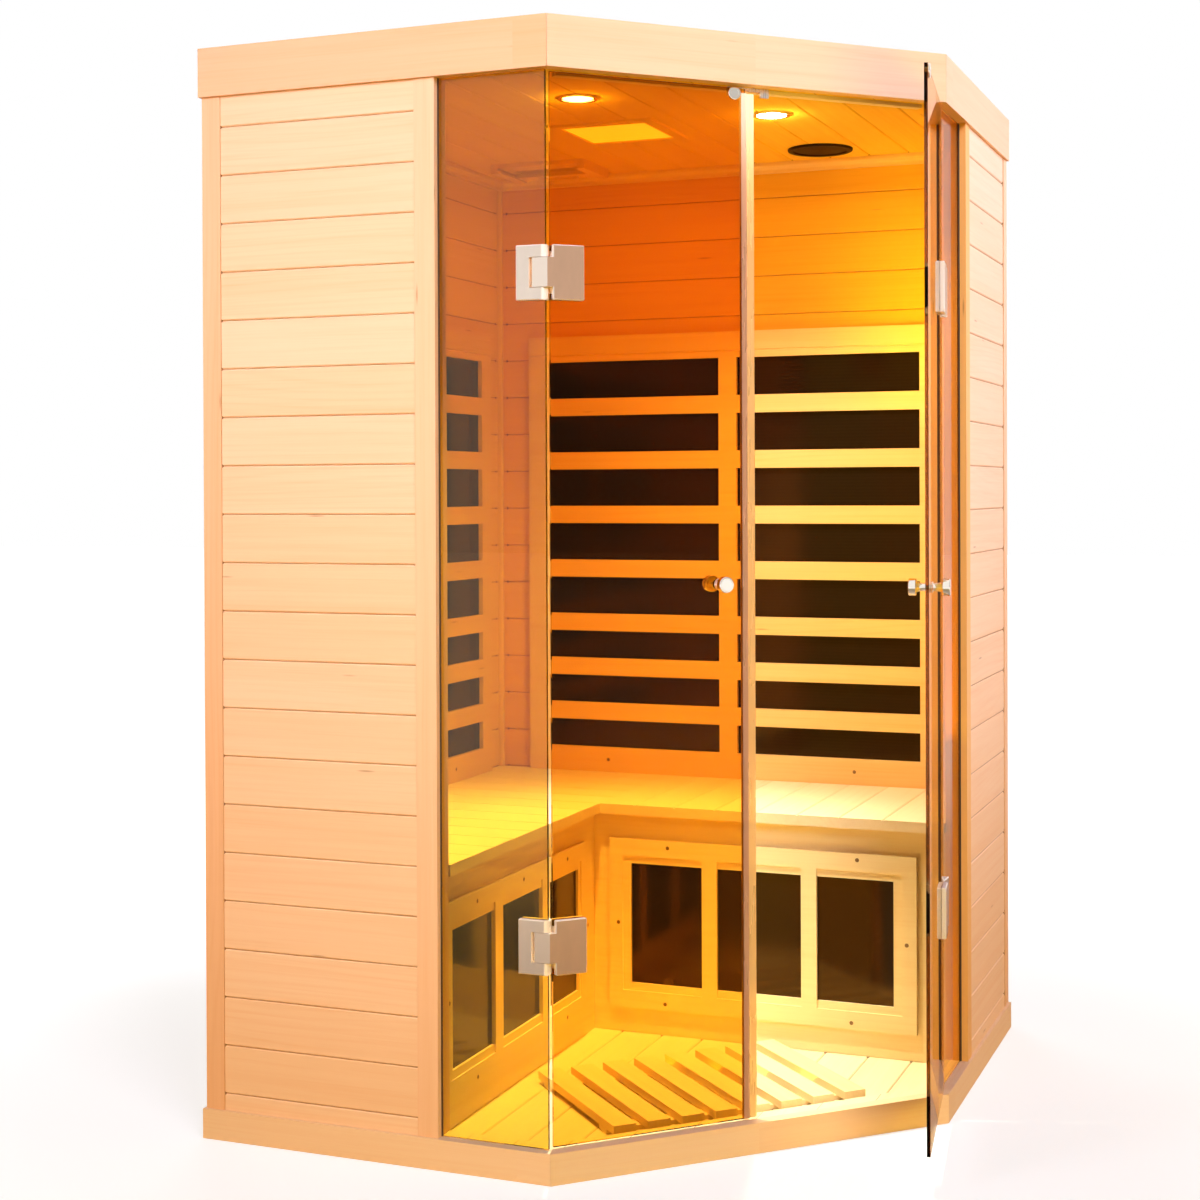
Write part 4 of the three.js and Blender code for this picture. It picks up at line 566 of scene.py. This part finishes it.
def make_floor():
    mesh = bpy.data.meshes.new("studio_floor")
    reach = 30.0
    mesh.from_pydata([(-reach, -reach, 0), (reach, -reach, 0), (reach, reach, 0), (-reach, reach, 0)], [],
                     [(0, 1, 2, 3)])
    floor = bpy.data.objects.new("studio_floor", mesh)
    SCENE.collection.objects.link(floor)
    floor.location.z = -0.0005
    material, tree, shader = new_material("studio_floor")
    shader.inputs["Roughness"].default_value = 0.9
    path = add(tree, "ShaderNodeLightPath")
    tree.links.new(blend_colour(tree, path.outputs["Is Diffuse Ray"], (0.5, 0.5, 0.5, 1), (0.5, 0.32, 0.14, 1)),
                   shader.inputs["Base Color"])
    away = add(tree, "ShaderNodeVectorMath", {0: add(tree, "ShaderNodeTexCoord").outputs["Object"]},
               operation="LENGTH").outputs["Value"]
    mirrored = calc(tree, "MULTIPLY", path.outputs["Is Glossy Ray"], between(tree, away, 1.6, 5.0))
    seen = calc(tree, "MAXIMUM", mirrored, calc(
        tree, "MAXIMUM", path.outputs["Is Camera Ray"], path.outputs["Is Transmission Ray"]))
    shader.inputs["Emission Color"].default_value = (1, 1, 1, 1)
    first = calc(tree, "LESS_THAN", path.outputs["Diffuse Depth"], 0.5)
    # Painted shade: the white glow that keeps the floor pale is weaker within about a metre of the object, which
    # darkens the floor round its base.
    tree.links.new(calc(tree, "MULTIPLY", calc(tree, "MULTIPLY", seen, first), between(tree, away, 0.9, 2.2, 0.66, 1.0)),
                   shader.inputs["Emission Strength"])
    mesh.materials.append(material)


def piece(name, form, material, body, smooth=None, ease=0.0):
    """A new object from a bmesh, riding on a body; smooth is the angle under which edges are shaded round."""
    mesh = bpy.data.meshes.new(name)
    form.normal_update()
    form.to_mesh(mesh)
    form.free()
    obj = bpy.data.objects.new(name, mesh)
    SCENE.collection.objects.link(obj)
    mesh.materials.append(material)
    if smooth:
        mesh.polygons.foreach_set("use_smooth", [True] * len(mesh.polygons))
        mesh.set_sharp_from_angle(angle=math.radians(smooth))
    if ease:
        bevel = obj.modifiers.new("ease", "BEVEL")
        bevel.width, bevel.segments, bevel.limit_method = ease, 2, "ANGLE"
        bevel.angle_limit = math.radians(30)
    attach(obj, body)
    return obj


def lathe(form, profile, base, axis, steps=64):
    """Adds a closed turned solid, from (radius, distance) points in millimetres along an axis."""
    ahead = Vector(axis).normalized()
    side = ahead.orthogonal().normalized()
    cross = ahead.cross(side)
    rings = []
    for radius, distance in profile:
        centre = Vector(base) + ahead * distance / 1000
        if not radius:
            rings.append([form.verts.new(centre)])
            continue
        angles = [2 * math.pi * i / steps for i in range(steps)]
        rings.append([form.verts.new(centre + (side * math.cos(a) + cross * math.sin(a)) * radius / 1000)
                      for a in angles])
    for low, high in zip(rings, rings[1:]):
        for i in range(steps):
            j = (i + 1) % steps
            corners = (low[i % len(low)], low[j % len(low)], high[j % len(high)], high[i % len(high)])
            form.faces.new(dict.fromkeys(corners))
    return form


def bar(profile, start, end, out, up, mitre=(0, 0)):
    """A closed bar with a profile of (out, up) points in millimetres; an end with a mitre of 1 is cut at 45."""
    form = bmesh.new()
    start, end, out, up = (Vector(v) for v in (start, end, out, up))
    along = (end - start).normalized()
    loops = [[form.verts.new(place + (out * a + up * b + along * (share * a)) / 1000) for a, b in profile]
             for place, share in ((start, mitre[0]), (end, -mitre[1]))]
    for i in range(len(profile)):
        j = (i + 1) % len(profile)
        form.faces.new((loops[0][i], loops[0][j], loops[1][j], loops[1][i]))
    form.faces.new(loops[0][::-1])
    form.faces.new(loops[1])
    bmesh.ops.recalc_face_normals(form, faces=form.faces)
    return form


def fillet(centre, radius, start, end, count=6):
    """Points of an arc in a profile, with angles in degrees."""
    angles = [math.radians(start + (end - start) * i / count) for i in range(count + 1)]
    return [(centre[0] + radius * math.cos(a), centre[1] + radius * math.sin(a)) for a in angles]


def turned_end(node, axis):
    """The point where a turned CAD node's axis leaves its far end."""
    ahead = Vector(axis).normalized()
    side = ahead.orthogonal().normalized()
    cross = ahead.cross(side)
    spots = [v.co for v in NODES[node].data.vertices]
    middle = [(min(p.dot(d) for p in spots) + max(p.dot(d) for p in spots)) / 2 for d in (side, cross)]
    return side * middle[0] + cross * middle[1] + ahead * max(p.dot(ahead) for p in spots)


# Door furniture, turned finer than the solids that it stands for
KNOB_LENGTH, STRIKE_DEPTH = 30.5, 3.0
KNOB_OUTLINE = [
    (9.1, 0), (9.5, 0.4), (9.5, 2.1), (9.1, 2.5), (7.4, 2.5), (6.9, 3.0), (6.8, 5.0), (6.9, 8.0), (7.3, 12.0),
    (7.9, 15.0), (8.7, 17.2), (9.2, 17.5), *fillet((12.3, 19.2), 1.7, -90, 0), *fillet((12.3, 28.8), 1.7, 0, 90),
    (11.2, 30.5), (10.9, 30.3), (10.4, 30.3), (10.1, 30.5), (0, 30.5)]
STUD = [(0, -14.6), (3.5, -14.6), (3.5, 0)]
BORE = [(0, 8.3), (3.8, 8.3), (3.8, 0)]
STRIKE_OUTLINE = [(0, -7.3), (4.6, -7.3), (5.0, -6.9), (5.0, 0), (11.7, 0), (12.0, 0.3),
                  *fillet((10.3, 1.3), 1.7, 0, 90), (7.0, 3.0), (6.7, 2.8), (0, 2.8)]
DOOR_AXES = {"left": Vector(AXIS_DIAGONAL), "right": Vector(AXIS_OPEN)}
for hand, outward in DOOR_AXES.items():
    for kind, way, length, outline in (
            ("outer_knob", outward, KNOB_LENGTH, STUD + KNOB_OUTLINE),
            ("inner_knob", -outward, KNOB_LENGTH, BORE + KNOB_OUTLINE),
            ("strike", outward, STRIKE_DEPTH, STRIKE_OUTLINE)):
        node = hand + "_" + kind
        foot = turned_end(node, way) - way * length / 1000
        turned = piece(node + "_turned", lathe(bmesh.new(), outline, foot, way), CHROME, hand + "_door", 30)
        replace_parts(turned, node)

# Ceiling fittings
UP = Vector((0, 0, 1))
RIM_OUTLINE = [(0, 4.0), (29.0, 4.0), (29.4, 3.0), (30.0, -1.4), (30.6, -1.8), (31.2, -2.7), (31.8, -3.0),
               (33.0, -3.0), *fillet((34.3, -1.5), 1.5, -90, 0), (35.8, 0), (28.0, 0), (28.0, 30.0), (0, 30.0)]
LENS_OUTLINE = [(0, -4.6), (8.0, -4.3), (15.0, -3.4), (21.0, -2.0), (25.5, -0.2), (28.2, 2.2), (28.6, 4.0), (0, 4.0)]
for node in ("left_downlight", "right_downlight"):
    low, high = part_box(node)
    spot = ((low.x + high.x) / 2, (low.y + high.y) / 2, low.z + 0.003)
    ring = piece(node + "_ring", lathe(bmesh.new(), RIM_OUTLINE, spot, UP, 72), CHROME, "cabin", 30)
    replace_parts(ring, node)
    piece(node + "_lens", lathe(bmesh.new(), LENS_OUTLINE, spot, UP, 48), LENS, "cabin", 40)
low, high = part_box("speaker")
spot = ((low.x + high.x) / 2, (low.y + high.y) / 2, low.z + 0.005)
rings = [(r, -2.6 - 1.6 * math.cos(math.pi * r / 110) + (0.5 if i % 2 else 0.0))
         for i, r in enumerate(range(2, 55, 2))]
SPEAKER_OUTLINE = [(0, -4.2), *rings, (55.5, -2.0), (56.5, -4.4), (58.0, -5.0), (61.0, -5.0),
                   *fillet((64.2, -2.2), 2.8, -90, 0), (67.0, 0), (55.0, 0), (55.0, 28.0), (0, 28.0)]
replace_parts(piece("speaker_grille", lathe(bmesh.new(), SPEAKER_OUTLINE, spot, UP, 96), GRILLE, "cabin",
                  30), "speaker")

# Trim of the room: ceiling moulding and the corner bead
COVE = [(0, 0), (0, -22), (8, -22), (8.6, -15), (11, -12.5), (15, -10.5), (18, -7), (18, 0)]
panel_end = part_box("left_panel")[1].x
for name, start, end, out, mitre in (
        ("rear", (-ROOM, ROOM, CEILING), (ROOM, ROOM, CEILING), (0, -1, 0), (1, 1)),
        ("side", (-ROOM, -ROOM, CEILING), (-ROOM, ROOM, CEILING), (1, 0, 0), (1, 1)),
        ("left", (-ROOM, -ROOM, CEILING), (panel_end, -ROOM, CEILING), (0, 1, 0), (1, 0)),
        ("right", (ROOM, -panel_end, CEILING), (ROOM, ROOM, CEILING), (-1, 0, 0), (0, 1))):
    along = "y" if out[0] else "x"
    piece("moulding_" + name, bar(COVE, start, end, out, UP, mitre),
          wood("wood_moulding_" + name, *LAMPLIT_WARM, along, seed=50.0 + len(name)), "cabin", ease=0.0006)
BEAD = [(0, 0), (10, 0), (10, 8), (8, 10), (0, 10)]
piece("corner_bead", bar(BEAD, (-ROOM, ROOM, BENCH_TOP), (-ROOM, ROOM, CEILING - 0.022), (1, 0, 0), (0, -1, 0)),
      wood("wood_corner_bead", *LAMPLIT_WARM, "z", seed=61.0), "cabin", ease=0.0008)

# Gaskets between the fixed panes and their posts
GASKET = [(0, 0), (2.6, 0), (2.3, 1.2), (1.2, 2.3), (0, 2.6)]
low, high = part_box("left_fixed_glass")
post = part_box("left_jamb_post")[1].x
for name, way in (("left", 1), ("right", -1)):
    foot = [(post, low.y), (-low.y, -post)][way < 0]
    out, up = [((1, 0, 0), (0, -1, 0)), ((0, -1, 0), (1, 0, 0))][way < 0]
    piece(name + "_glass_gasket", bar(GASKET, (*foot, low.z), (*foot, high.z), out, up), RUBBER, "cabin",
          ease=0.0003)

# Screw heads, sunk in the bench fronts and the heater guards
HEAD = [(0, -0.8), (3.6, -0.8), (3.9, 0.05), (3.2, 0.3), (1.7, 0.4), (1.3, 0.1), (0, 0.05)]


def screws(name, places, way):
    form = bmesh.new()
    for place in places:
        lathe(form, HEAD, place, way, 20)
    piece(name, form, SCREW, "cabin", 35)


rear_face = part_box("rear_bench_front")[0].y
side_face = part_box("side_bench_front")[1].x
guard_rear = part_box("rear_heater_guard")[0].y
guard_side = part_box("side_heater_guard")[1].x
screws("rear_bench_screws", [(x, rear_face, z) for x, z in (
    (-0.002, 0.416), (0.384, 0.418), (-0.107, 0.261), (0.480, 0.262), (-0.008, 0.104), (0.372, 0.104))], (0, -1, 0))
screws("side_bench_screws", [(side_face, y, z) for y, z in (
    (-0.418, 0.412), (-0.217, 0.412), (-0.010, 0.412), (-0.530, 0.260), (-0.418, 0.104), (-0.013, 0.104))], (1, 0, 0))
screws("side_board_screw", [(-0.162, 0.115, 0.256)], (1, 0, 0))
screws("rear_guard_screws", [(x, guard_rear, 0.528) for x in (-0.281, 0.281)], (0, -1, 0))
screws("side_guard_screws", [(guard_side, y, 0.528) for y in (-0.281, 0.285)], (1, 0, 0))

make_camera()
make_world()
make_floor()
make_lamp("key", (-2.0, -3.4, 2.6), (-0.2, -0.6, 1.5), 1.6, 10.2, (1.0, 0.90, 1.06), spread=55)
make_lamp("fill", (3.2, 1.9, 2.6), (0.6, 0.2, 1.85), 1.6, 13.2, (0.90, 0.91, 1.36), spread=55)
make_lamp("front", (2.2, -2.8, 3.4), (0.33, -0.33, 1.8), 1.6, 20.0, (0.97, 0.92, 1.18), spread=70)
make_lamp("back", (-2.5, 4.0, 3.2), (0.0, 0.2, 1.0), 3.0, 110.0)
make_lamp("low_left", (-0.9, -3.0, 0.2), (-0.2, -0.6, 0.3), 1.2, 27.0, (1.0, 0.54, 0.06))
make_lamp("low_front", (2.2, -2.4, 0.25), (0.33, -0.33, 0.05), 1.2, 44.0, (1.0, 0.76, 0.08))
make_lamp("low_right", (3.0, 1.2, 0.25), (0.6, 0.25, 0.2), 1.2, 26.0, (1.0, 0.50, 0.06))

# Light of the cabin's own lamps
AMBER_LIGHT = (1.0, 0.19, 0.002)
WARM_LIGHT = (1.0, 0.93, 0.68)
GOLD_LIGHT = (1.0, 0.68, 0.10)
HALO_LIGHT = (1.0, 0.82, 0.40)
lamp_low, lamp_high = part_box("lamp_panel")
lamp_middle = (lamp_low + lamp_high) / 2
make_lamp("panel_glow", (lamp_middle.x, lamp_middle.y, lamp_low.z - 0.012), (lamp_middle.x, lamp_middle.y, 0),
          0.17, 0.95, AMBER_LIGHT)


def make_spot(node, energy, cone, colour, blend=1.0):
    low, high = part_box(node)
    data = bpy.data.lights.new("glow_" + node, "SPOT")
    data.energy, data.color, data.shadow_soft_size = energy, colour, 0.025
    data.spot_size, data.spot_blend = math.radians(cone), blend
    lamp = bpy.data.objects.new("glow_" + node, data)
    SCENE.collection.objects.link(lamp)
    lamp.location = ((low.x + high.x) / 2, (low.y + high.y) / 2, low.z - 0.03)
    lamp.visible_camera = lamp.visible_glossy = lamp.visible_transmission = False



def make_halo(node):
    """Light that a downlight's domed lens throws on the boards round it."""
    low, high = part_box(node)
    data = bpy.data.lights.new("halo_" + node, "POINT")
    data.energy, data.color, data.shadow_soft_size = 0.5, HALO_LIGHT, 0.004
    lamp = bpy.data.objects.new("halo_" + node, data)
    SCENE.collection.objects.link(lamp)
    lamp.location = ((low.x + high.x) / 2, (low.y + high.y) / 2, low.z - 0.014)
    lamp.visible_camera = lamp.visible_glossy = lamp.visible_transmission = False


make_halo("left_downlight")
make_halo("right_downlight")
make_spot("left_downlight", 160.0, 68, WARM_LIGHT)
make_spot("right_downlight", 48.0, 124, WARM_LIGHT)
make_spot("left_downlight", 0.35, 178, GOLD_LIGHT, 0.15)
make_spot("right_downlight", 1.9, 178, GOLD_LIGHT, 0.15)
make_lamp("floor_glow", (0.20, -0.10, 0.08), (0.20, 0.16, 0.40), 0.5, 0.8, (1.0, 0.64, 0.10), 0.2)
make_lamp("rebound", (0.34, -0.05, 0.75), (0.42, 0.40, 1.80), 0.45, 1.9, (1.0, 0.66, 0.02))
make_lamp("wall_glow", (0.40, 0.12, 1.30), (0.50, 0.55, 1.55), 0.2, 0.5, (1.0, 0.86, 0.04), spread=75)
make_lamp("doorway", (0.20, -0.28, 0.36), (-0.16, -0.16, 0.2), 0.5, 0.5, (1.0, 0.46, 0.02), 0.3, spread=70)
